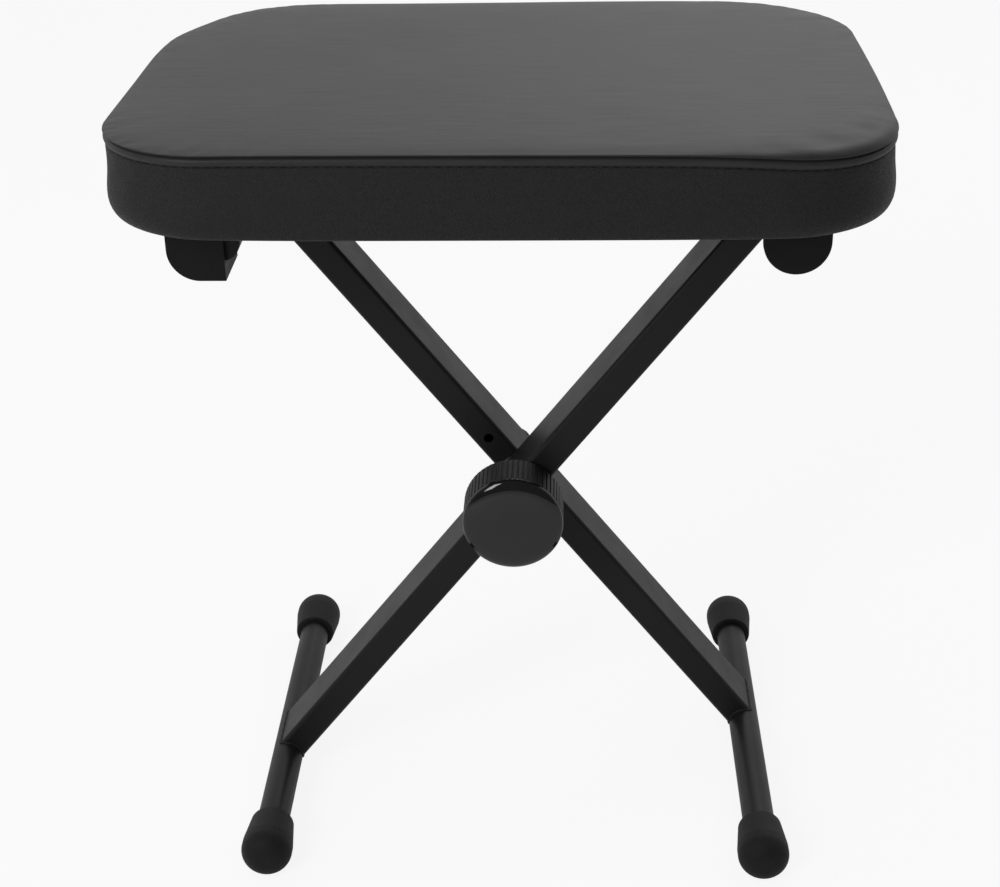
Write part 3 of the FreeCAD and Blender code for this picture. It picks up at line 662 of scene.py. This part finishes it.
def end_tree(tree, shapes, material, smooth=True):
    made = add_node(tree, "GeometryNodeRealizeInstances", {0: shapes})
    if smooth:
        made = add_node(tree, "GeometryNodeSetShadeSmooth", {0: made.outputs[0]})
    coated = add_node(tree, "GeometryNodeSetMaterial", {0: made.outputs[0], "Material": material})
    add_node(tree, "NodeGroupOutput", {0: coated.outputs[0]})
    return tree


def space_line(tree, taken, length):
    """The piece's own line, with points on it at even steps."""
    line = add_node(tree, "GeometryNodeMeshToCurve", {0: taken.outputs["Geometry"]})
    values = {0: line.outputs[0], "Length": length}
    return add_node(tree, "GeometryNodeResampleCurve", values, mode="LENGTH")


def repeat_along(tree, taken, shape, size, material):
    """Ends a tree with a sized copy of a shape at each pitch of the line, lying along it."""
    spaced = space_line(tree, taken, taken.outputs["Pitch"])
    size = dict(enumerate(taken.outputs[label] for label in size))
    sized = add_node(tree, "ShaderNodeCombineXYZ", size)
    shaped = add_node(tree, "GeometryNodeTransform", {0: shape, "Scale": sized.outputs[0]})
    along = tree.nodes.new("GeometryNodeInputTangent")
    turned = add_node(tree, "FunctionNodeAlignRotationToVector", {"Vector": along.outputs[0]}, axis="X")
    copies = add_node(tree, "GeometryNodeInstanceOnPoints", {
        0: spaced.outputs[0], "Instance": shaped.outputs[0], "Rotation": turned.outputs[0],
    })
    return end_tree(tree, copies.outputs[0], material)


def run_tree(piece, tree, **values):
    """Gives a piece the tree as a modifier, sets its inputs by identifier, and keeps the result."""
    modifier = piece.modifiers.new(tree.name, "NODES")
    modifier.node_group = tree
    for item in tree.interface.items_tree:
        if item.in_out == "INPUT" and item.name in values:
            modifier[item.identifier] = values[item.name]
    return keep_result(piece)


def make_line_piece(name, loops, closed=True):
    """A mesh of edges only: each loop is a list of points."""
    vertices = []
    edges = []
    for loop in loops:
        start = len(vertices)
        vertices.extend(tuple(point) for point in loop)
        edges.extend((start + index, start + index + 1) for index in range(len(loop) - 1))
        if closed:
            edges.append((start + len(loop) - 1, start))
    mesh = bpy.data.meshes.new(name)
    mesh.from_pydata(vertices, edges, [])
    return link_piece(name, mesh)


# %% [markdown]
# ## Stitches round the side band
# A lockstitch machine leaves a short dash of thread every five millimetres, sunk a little where it
# goes down through the fold. One elongated bead is enough for each, turned along the line.

# %% Thread and stitches
def make_thread_finish():
    material, graph, shader, point = start_finish("thread", 0.004, 0.6, specular=0.1)
    twist = add_node(graph, "ShaderNodeTexWave", {
        "Vector": point, "Scale": 900.0, "Distortion": 1.5,
    }, bands_direction="DIAGONAL")
    link_finish(graph, shader, add_blend(graph, twist.outputs[1], grey(0.003), grey(0.006)))
    raise_bump(graph, shader, twist.outputs[1], 0.00006)
    return material


thread = make_thread_finish()
stitch_pitch = 5.3 * millimetre
stitch_length = 3.7 * millimetre
stitch_width = 0.62 * millimetre


def make_stitch_tree():
    tree, taken = start_tree("stitches", [
        ("Pitch", NUMBER, stitch_pitch), ("Length", NUMBER, stitch_length), ("Width", NUMBER, stitch_width),
    ])
    bead = add_node(tree, "GeometryNodeMeshUVSphere", {"Segments": 8, "Rings": 6, "Radius": 0.5})
    return repeat_along(tree, taken, bead.outputs[0], ("Length", "Width", "Width"), thread)


stitch_tree = make_stitch_tree()
stitch_lift = 0.22 * millimetre
lifted_line = [
    point + outward.to_3d() * stitch_lift for point, (spot, outward) in zip(stitch_line, outline)
]
stitching = run_tree(make_line_piece("stitching", [lifted_line]), stitch_tree, Pitch=stitch_pitch)
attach(stitching, "seat")
print("stitching faces:", len(stitching.data.polygons))

# %% [markdown]
# ## The cloth under the seat
# A thin non-woven cloth closes the underside. It is cut to the seat's outline a little smaller,
# pulled flat and stapled at its edge, so between its staples and the brackets it hangs a hair lower.
# A patch with a thickness is enough. The staples follow its edge.

# %% Cloth finish
def make_cloth_finish():
    material, graph, shader, point = start_finish("base_cloth", 0.030, 0.85, specular=0.2)
    dots = add_node(graph, "ShaderNodeTexVoronoi", {"Vector": point, "Scale": 620.0, "Randomness": 0.15})
    press = add_range(graph, dots.outputs["Distance"], 0.15, 0.4)
    fibres = place_group(graph, streaks, {"Point": point, "Stretch": (900, 2600, 900)})
    link_finish(graph, shader, add_blend(graph, fibres.outputs["Fine"], grey(0.018), grey(0.045)))
    bump = raise_bump(graph, shader, press, 0.00012)
    raise_bump(graph, shader, fibres.outputs["Fine"], 0.00006, after=bump)
    return material


base_cloth_finish = make_cloth_finish()

# %% The cloth
cloth_low, cloth_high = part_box("base_cloth")
cloth_inset = half_width - cloth_high.x
cloth_sag = 0.8 * millimetre
cloth_thickness = cloth_high.z - cloth_low.z
hang_reach = 30 * millimetre
bracket_reach = 25 * millimetre
bracket_names = ["front_hinge_block", "back_hinge_block", "front_rest_bracket", "back_rest_bracket"]
bracket_boxes = [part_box(name) for name in bracket_names]


def away_from_brackets(place):
    """0 on a bracket, and 1 from bracket_reach away."""
    nearest = 1.0
    for low, high in bracket_boxes:
        gap_x = max(low.x - place.x, place.x - high.x, 0)
        gap_y = max(low.y - place.y, place.y - high.y, 0)
        nearest = min(nearest, math.hypot(gap_x, gap_y) / bracket_reach)
    return nearest


def cloth_height(place):
    inside = max(depth_inside(place) - cloth_inset, 0) / hang_reach
    hang = min(inside, 1.0) * away_from_brackets(place)
    ripple = 0.75 + 0.5 * noise.noise(Vector((place.x * 16, place.y * 22, 8)))
    return cloth_high.z - cloth_sag * hang * ripple


cloth_vertices = [
    Vector((spot.x - outward.x * cloth_inset, spot.y - outward.y * cloth_inset, cloth_high.z))
    for spot, outward in outline
]
cloth_faces = patch_faces(cloth_vertices, 0, cloth_height)
under_cloth = make_mesh_piece("underside_cloth", cloth_vertices, cloth_faces, [base_cloth_finish])
thickness = under_cloth.modifiers.new("thickness", "SOLIDIFY")
thickness.thickness = cloth_thickness
thickness.offset = -1
keep_result(under_cloth)
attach(under_cloth, "seat")
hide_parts("base_cloth")

# %% [markdown]
# ## Staples
# Each staple shows only its crown: a short flat wire across the cloth's edge.
# They repeat along one line, a little inside the edge, and lie along it.

# %% Staples round the cloth
def make_metal_finish(name, level, roughness, tint, mark_stretch):
    """Bare or plated metal with drawn lines and uneven tone."""
    material, graph, shader, point = start_finish(name, level, roughness, tint, metallic=1.0)
    lines = place_group(graph, streaks, {"Point": point, "Stretch": mark_stretch})
    film = place_group(graph, dust, {"Point": point, "Patches per metre": 160.0})
    tone = add_blend(graph, film.outputs["Patches"], grey(level * 0.82, tint), grey(level * 1.08, tint))
    gloss = add_range(graph, lines.outputs["Fine"], 0.3, 0.7, roughness * 0.8, roughness * 1.25)
    link_finish(graph, shader, tone, gloss)
    raise_bump(graph, shader, lines.outputs["Fine"], 0.00003)
    return material


zinc_steel = make_metal_finish("zinc_steel", 0.60, 0.30, (1.0, 1.0, 0.97), (300, 2400, 300))
staple_pitch = 32 * millimetre
staple_width = 10 * millimetre
staple_wire = 0.7 * millimetre


def make_staple_tree():
    tree, taken = start_tree("staples", [
        ("Pitch", NUMBER, staple_pitch), ("Width", NUMBER, staple_width), ("Wire", NUMBER, staple_wire),
    ])
    wire = add_node(tree, "GeometryNodeMeshCylinder", {
        "Vertices": 8, "Side Segments": 1, "Radius": 0.5, "Depth": 1.0,
    })
    lying = add_node(tree, "GeometryNodeTransform", {
        0: wire.outputs[0], "Rotation": (0, math.pi / 2, 0),
    })
    return repeat_along(tree, taken, lying.outputs[0], ("Width", "Wire", "Wire"), zinc_steel)


staple_inset = cloth_inset + 6 * millimetre
staple_level = cloth_low.z - 0.2 * millimetre
staple_line = [(spot - outward * staple_inset).to_3d() for spot, outward in outline]
for place in staple_line:
    place.z = staple_level
staples = run_tree(make_line_piece("staples", [staple_line]), make_staple_tree(), Pitch=staple_pitch)
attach(staples, "seat")

# %% [markdown]
# ## Weld beads
# Each arm's ends are coped, which means cut to fit round the tubes, and welded all the way round.
# The bead's path has a rule: take the arm's rounded rectangle, and drop each of its points
# onto the tube. A ring of small radius is then swept along that path, with the ripple of a weld.

# %% Powder coat
def make_powder_coat():
    material, graph, shader, point = start_finish("black_paint", 0.010, 0.44, specular=0.16)
    peel = add_noise(graph, point, 520.0, 2.0)
    film = place_group(graph, dust, {"Point": point, "Patches per metre": 34.0, "On top": 0.8})
    tone = add_blend(graph, add_math(graph, "MULTIPLY", film.outputs["Film"], 0.05), grey(0.009), grey(0.10))
    link_finish(graph, shader, tone, add_range(graph, film.outputs["Patches"], 0, 1, 0.39, 0.49))
    raise_bump(graph, shader, peel.outputs[0], 0.00010, strength=0.6)
    return material


black_paint = make_powder_coat()

# %% Bead paths
tube_low, tube_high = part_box("left_top_tube")
foot_low, foot_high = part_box("left_foot_tube")
right_low, right_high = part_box("right_top_tube")
tube_radius = (tube_high.x - tube_low.x) / 2
left_x = (tube_high.x + tube_low.x) / 2
right_x = (right_high.x + right_low.x) / 2
top_z = (tube_high.z + tube_low.z) / 2
foot_z = (foot_high.z + foot_low.z) / 2
arm_width = 17.3 * millimetre
arm_rounding = 2.5 * millimetre
bead_radius = 1.0 * millimetre
bead_step = 0.8 * millimetre


def rounded_rectangle(width, depth, radius, steps=5):
    """Points round a rounded rectangle, with points between its corners too."""
    points = []
    for number, (side_x, side_y) in enumerate(((1, 1), (-1, 1), (-1, -1), (1, -1))):
        for step in range(steps + 1):
            angle = math.pi / 2 * (number + step / steps)
            points.append((
                side_x * (width / 2 - radius) + radius * math.cos(angle),
                side_y * (depth / 2 - radius) + radius * math.sin(angle),
            ))
    dense = []
    for index, (x, y) in enumerate(points):
        next_x, next_y = points[(index + 1) % len(points)]
        pieces = max(1, round(math.hypot(next_x - x, next_y - y) / millimetre))
        for piece in range(pieces):
            share = piece / pieces
            dense.append((x + (next_x - x) * share, y + (next_y - y) * share))
    return dense


def bead_loop(arm, tube_x, tube_z):
    """The line where an arm meets the round tube at tube_x and tube_z."""
    low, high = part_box(arm)
    middle = Vector(((left_x + right_x) / 2, (low.y + high.y) / 2, (foot_z + top_z) / 2))
    end = Vector((tube_x, middle.y, tube_z))
    up = (end - middle).normalized()
    side = Vector((0, 1, 0)).cross(up)
    loop = []
    for x, y in rounded_rectangle(arm_width, high.y - low.y, arm_rounding):
        drop = math.sqrt(tube_radius ** 2 - x ** 2)
        loop.append(end + side * x + Vector((0, y, 0)) - up * drop)
    return loop


def make_bead_tree():
    tree, taken = start_tree("weld_bead", [("Radius", NUMBER, bead_radius), ("Seed", NUMBER, 3.0)])
    spaced = space_line(tree, taken, bead_step)
    ripple = add_node(tree, "ShaderNodeTexNoise", {"Scale": 260.0, "W": taken.outputs["Seed"]},
                      noise_dimensions="4D")
    size = add_node(tree, "ShaderNodeMapRange", {0: ripple.outputs[0], 1: 0.3, 2: 0.7, 3: 0.8, 4: 1.2})
    ring = add_node(tree, "GeometryNodeCurvePrimitiveCircle", {
        "Resolution": 10, "Radius": taken.outputs["Radius"],
    })
    swept = add_node(tree, "GeometryNodeCurveToMesh", {
        0: spaced.outputs[0], 1: ring.outputs[0], "Scale": size.outputs[0],
    })
    return end_tree(tree, swept.outputs[0], black_paint)


bead_tree = make_bead_tree()
for name, arm, body, top_x in (
    ("front_welds", "front_arm", "front_leg", right_x),
    ("back_welds", "back_arm", "rear_leg", left_x),
):
    foot_x = left_x + right_x - top_x
    loops = [bead_loop(arm, top_x, top_z), bead_loop(arm, foot_x, foot_z)]
    welds = run_tree(make_line_piece(name, loops), bead_tree, Radius=bead_radius)
    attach(welds, body)
    print(name, "faces:", len(welds.data.polygons))

# %% [markdown]
# ## The glossy cap of the knob
# The knob's face is a polished domed cap with a rounded edge, which snaps into the rim by a skirt.
# It is a profile of radii and depths, spun round the pivot's axis, which runs along Y.
# The dome follows a power of the radius: flat in the middle, and rounder towards the edge.

# %% Spin the cap
def make_gloss_finish():
    material, graph, shader, point = start_finish("knob_gloss", 0.008, 0.08, specular=0.40)
    film = place_group(graph, dust, {"Point": point, "Patches per metre": 90.0, "On top": 0.3})
    tone = add_blend(graph, film.outputs["Patches"], grey(0.006), grey(0.009))
    link_finish(graph, shader, tone, add_range(graph, film.outputs["Patches"], 0, 1, 0.05, 0.12))
    wave = add_noise(graph, point, 60.0, 1.0)
    raise_bump(graph, shader, wave.outputs[0], 0.00008)
    return material


knob_gloss = make_gloss_finish()
cap_low, cap_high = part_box("knob_cap")
cap_radius = (cap_high.x - cap_low.x) / 2
axis_x = (cap_high.x + cap_low.x) / 2
axis_z = (cap_high.z + cap_low.z) / 2
rim_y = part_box("knob_body")[0].y
cap_side = 0.5 * millimetre
skirt_radius = cap_radius - 2.7 * millimetre
cap_roundness = 3.6
cap_turns = 128


def cap_profile():
    """Radius and depth from the face's centre, over the rounded edge, to the hidden skirt."""
    dome = rim_y - cap_side - cap_low.y
    profile = []
    for step in range(1, 33):
        share = math.sin(math.pi / 2 * step / 32)
        rise = math.sqrt(max(1 - share ** cap_roundness, 0))
        profile.append((cap_radius * share, rim_y - cap_side - dome * rise))
    profile.append((cap_radius, rim_y))
    profile.append((skirt_radius, rim_y))
    profile.append((skirt_radius, cap_high.y))
    return profile


def spin(name, profile, front_y, back_y, material):
    """A closed turned piece about the pivot's axis, with a centre point at its front and its back."""
    vertices = []
    faces = []
    for radius, depth in profile:
        for step in range(cap_turns):
            angle = 2 * math.pi * step / cap_turns
            across, up = radius * math.cos(angle), radius * math.sin(angle)
            vertices.append(Vector((axis_x + across, depth, axis_z + up)))
    for level in range(len(profile) - 1):
        for step in range(cap_turns):
            following = (step + 1) % cap_turns
            low = level * cap_turns
            faces.append((low + step, low + cap_turns + step, low + cap_turns + following, low + following))
    front = len(vertices)
    vertices.append(Vector((axis_x, front_y, axis_z)))
    back = len(vertices)
    vertices.append(Vector((axis_x, back_y, axis_z)))
    last = (len(profile) - 1) * cap_turns
    for step in range(cap_turns):
        following = (step + 1) % cap_turns
        faces.append((front, step, following))
        faces.append((back, last + following, last + step))
    piece = make_mesh_piece(name, vertices, faces, [material])
    for face in piece.data.polygons:
        face.use_smooth = True
    return piece


domed_cap = spin("domed_cap", cap_profile(), cap_low.y, cap_high.y, knob_gloss)
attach(domed_cap, "knob")
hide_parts("knob_cap")

# %% [markdown]
# ## Cross-head screws
# Eight countersunk screws hold the brackets from below. One screw is a cone on a cylinder with a
# cross cut from its face, so the tree makes it from plain solids with a Mesh Boolean,
# and puts a copy at each hole.

# %% Screws
black_screw = make_metal_finish("black_screw", 0.035, 0.36, (1.0, 1.0, 1.05), (700, 900, 700))
screw_low, screw_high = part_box("bracket_screws")
head_radius = 3.8 * millimetre
shank_radius = 2.0 * millimetre
head_height = head_radius - shank_radius
screw_offset = 21.9 * millimetre
recess_width = 0.9 * millimetre
recess_length = 4.4 * millimetre
recess_depth = 1.1 * millimetre


def make_screw_tree():
    tree, taken = start_tree("screws", [
        ("Head radius", NUMBER, head_radius), ("Shank radius", NUMBER, shank_radius),
        ("Length", NUMBER, screw_high.z - screw_low.z),
    ])
    head = add_node(tree, "GeometryNodeMeshCone", {
        "Vertices": 40, "Radius Top": taken.outputs["Shank radius"],
        "Radius Bottom": taken.outputs["Head radius"], "Depth": head_height,
    })
    shank = add_node(tree, "GeometryNodeMeshCylinder", {
        "Vertices": 40, "Radius": taken.outputs["Shank radius"],
        "Depth": add_math(tree, "SUBTRACT", taken.outputs["Length"], head_height),
    })
    middle = add_math(tree, "MULTIPLY", add_math(tree, "ADD", taken.outputs["Length"], head_height), 0.5)
    shank_place = add_node(tree, "ShaderNodeCombineXYZ", {2: middle})
    shank_set = add_node(tree, "GeometryNodeTransform", {
        0: shank.outputs[0], "Translation": shank_place.outputs[0],
    })
    cut = add_node(tree, "GeometryNodeMeshBoolean", {0: head.outputs[0]},
                   operation="DIFFERENCE", solver="EXACT")
    for length, width in ((recess_length, recess_width), (recess_width, recess_length)):
        bar = add_node(tree, "GeometryNodeMeshCube", {"Size": (length, width, recess_depth * 2)})
        tree.links.new(bar.outputs[0], cut.inputs[1])
    joined = tree.nodes.new("GeometryNodeJoinGeometry")
    tree.links.new(cut.outputs[0], joined.inputs[0])
    tree.links.new(shank_set.outputs[0], joined.inputs[0])
    points = add_node(tree, "GeometryNodeMeshToPoints", {0: taken.outputs["Geometry"]})
    spin_by = add_node(tree, "FunctionNodeRandomValue", {
        "Min": (0, 0, 0), "Max": (0, 0, math.pi / 2), "Seed": 5,
    }, data_type="FLOAT_VECTOR")
    copies = add_node(tree, "GeometryNodeInstanceOnPoints", {
        0: points.outputs[0], "Instance": joined.outputs[0], "Rotation": spin_by.outputs[0],
    })
    return end_tree(tree, copies.outputs[0], black_screw, smooth=False)


screw_places = []
for low, high in bracket_boxes:
    tube_x = left_x if (low.x + high.x) < 0 else right_x
    for side in (-1, 1):
        screw_places.append(Vector((tube_x + side * screw_offset, (low.y + high.y) / 2, screw_low.z)))
screws = run_tree(make_line_piece("cross_head_screws", [[place] for place in screw_places], closed=False),
                  make_screw_tree(), Length=screw_high.z - screw_low.z)
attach(screws, "seat")
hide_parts("bracket_screws")
print("screws faces:", len(screws.data.polygons))

# %% [markdown]
# ## Finishes for the ready-made pieces
# The frame's own pieces keep their shape and only get a finish. Moulded plastics differ in how fine
# their texture is and how much they shine, so one function makes them all with its own values.

# %% Moulded plastics and rubber
film_share = 0.04


def make_moulded_finish(name, level, roughness, cells, depth, specular, tint=(1, 1, 1)):
    material, graph, shader, point = start_finish(name, level, roughness, tint, specular=specular)
    grain = place_group(graph, pebble_grain, {"Point": point, "Cells per metre": cells, "Wander": 1.0})
    film = place_group(graph, dust, {"Point": point, "Patches per metre": 45.0, "On top": 0.8})
    share = add_math(graph, "MULTIPLY", film.outputs["Film"], film_share)
    tone = add_blend(graph, grain.outputs["Crease"], grey(level * 1.05, tint), grey(level * 0.8, tint))
    tone = add_blend(graph, share, tone, grey(0.5 * level + 0.12, tint))
    gloss = add_range(graph, film.outputs["Patches"], 0, 1, roughness - 0.05, roughness + 0.06)
    link_finish(graph, shader, tone, gloss)
    raise_bump(graph, shader, grain.outputs["Height"], depth)


make_moulded_finish("foot_rubber", 0.010, 0.58, 1700.0, 0.00006, 0.14)
make_moulded_finish("bracket_plastic", 0.006, 0.48, 2100.0, 0.00004, 0.12)
make_moulded_finish("plug_plastic", 0.008, 0.50, 2100.0, 0.00004, 0.14)
make_moulded_finish("bush_nylon", 0.008, 0.42, 900.0, 0.00002, 0.16)
make_moulded_finish("knob_plastic", 0.008, 0.48, 2600.0, 0.00004, 0.14)
make_moulded_finish("friction_fibre", 0.085, 0.8, 1300.0, 0.00010, 0.2, tint=(1.0, 0.88, 0.76))
make_metal_finish("insert_brass", 0.72, 0.28, (1.0, 0.76, 0.40), (500, 4200, 500))

# %% [markdown]
# ## Plywood
# The board's faces show long grain and its edge shows plies, which are thin layers whose tone
# alternates with height.

# %% Plywood finish
def make_plywood_finish():
    material, graph, shader, point = start_finish("plywood", 0.5, 0.7, (1.0, 0.76, 0.50), specular=0.3)
    lines = place_group(graph, streaks, {"Point": point, "Stretch": (9, 160, 160)})
    parts = add_node(graph, "ShaderNodeSeparateXYZ", {0: point})
    plies = add_math(graph, "SINE", add_math(graph, "MULTIPLY", parts.outputs[2], 2 * math.pi / 0.0048))
    ply_tone = add_range(graph, plies, -0.4, 0.4)
    light = add_blend(graph, lines.outputs["Fine"], (0.42, 0.27, 0.14, 1), (0.66, 0.50, 0.33, 1))
    tone = add_blend(graph, add_math(graph, "MULTIPLY", ply_tone, 0.35), light, (0.30, 0.19, 0.10, 1))
    link_finish(graph, shader, tone)
    raise_bump(graph, shader, lines.outputs["Fine"], 0.00015)


make_plywood_finish()

# %% Give the frame's nodes their finishes
finishes["leatherette"] = pebbled_shaded_leatherette
finishes["seat_foam"] = base_cloth_finish
for part in frame["record"]["subparts"]:
    node = frame["nodes"][part["node"]]
    material = finishes[part["material_slot"]]
    if not node.material_slots:
        node.data.materials.append(material)
    for slot in node.material_slots:
        slot.link = "OBJECT"
        slot.material = material

# %% [markdown]
# ## Floor and light
# The bench stands on a plain pale floor. To the camera and in reflections the floor is mostly a
# steady white, with a share of real light left in it so that the bench keeps its soft shadow.
# A window-like lamp at the front left does the modelling and leaves its highlight on the knob,
# and the sky fills the rest.

# %% Floor
seen_white = 0.88
mirrored_white = 0.3


def make_floor_finish():
    material = bpy.data.materials.new("floor")
    material.use_nodes = True
    graph = material.node_tree
    graph.nodes.clear()
    matt = add_node(graph, "ShaderNodeBsdfDiffuse", {"Color": grey(0.82)})
    white = add_node(graph, "ShaderNodeEmission", {"Color": grey(1.0), "Strength": 1.0})
    path = graph.nodes.new("ShaderNodeLightPath")
    seen = add_math(graph, "MAXIMUM", path.outputs["Is Camera Ray"], path.outputs["Is Transmission Ray"])
    share = add_math(graph, "MULTIPLY", seen, seen_white)
    mirrored = add_math(graph, "MULTIPLY", path.outputs["Is Glossy Ray"], mirrored_white)
    share = add_math(graph, "MAXIMUM", share, mirrored)
    mixed = add_node(graph, "ShaderNodeMixShader", {0: share, 1: matt.outputs[0], 2: white.outputs[0]})
    add_node(graph, "ShaderNodeOutputMaterial", {0: mixed.outputs[0]})
    return material


floor_reach = 14.0
floor = make_mesh_piece(
    "floor",
    [(-floor_reach, -floor_reach, 0), (floor_reach, -floor_reach, 0),
     (floor_reach, floor_reach, 0), (-floor_reach, floor_reach, 0)],
    [(0, 1, 2, 3)],
    [make_floor_finish()],
)

# %% Sky and lamps
soft_side = (-0.55, 0.25, 0.80)


def make_sky():
    """White to the camera, darker in reflections towards the front, and soft from above and the left."""
    sky = bpy.data.worlds.new("studio")
    bpy.context.scene.world = sky
    sky.use_nodes = True
    graph = sky.node_tree
    graph.nodes.clear()
    direction = add_node(graph, "ShaderNodeTexCoord").outputs["Generated"]
    parts = add_node(graph, "ShaderNodeSeparateXYZ", {0: direction})
    mirrored = add_range(graph, parts.outputs[1], -0.5, 0.5, 0.12, 1.0)
    towards = add_node(graph, "ShaderNodeVectorMath", {0: direction, 1: soft_side}, operation="DOT_PRODUCT")
    soft = add_range(graph, towards.outputs["Value"], -0.8, 0.9, 0.15, 0.65)
    path = graph.nodes.new("ShaderNodeLightPath")
    level = add_node(graph, "ShaderNodeMix", {0: path.outputs["Is Glossy Ray"], 2: soft, 3: mirrored})
    seen = add_math(graph, "MAXIMUM", path.outputs["Is Camera Ray"], path.outputs["Is Transmission Ray"])
    level = add_node(graph, "ShaderNodeMix", {0: seen, 2: level.outputs[0], 3: 1.0})
    light = add_node(graph, "ShaderNodeBackground", {"Color": grey(1.0), "Strength": level.outputs[0]})
    add_node(graph, "ShaderNodeOutputWorld", {0: light.outputs[0]})


def add_lamp(name, place, target, width, height, watts):
    light = bpy.data.lights.new(name, "AREA")
    light.shape = "RECTANGLE"
    light.size = width
    light.size_y = height
    light.energy = watts
    lamp = link_piece(name, light)
    lamp.location = place
    lamp.rotation_euler = (Vector(target) - Vector(place)).to_track_quat("-Z", "Y").to_euler()


make_sky()
add_lamp("window_lamp", (-0.85, -1.35, 1.15), (0, -0.05, 0.25), 0.45, 0.85, 14)
add_lamp("back_lamp", (0.5, 1.6, 1.7), (0, 0, 0.4), 1.2, 1.2, 5)
bpy.context.scene.view_settings.view_transform = "Standard"
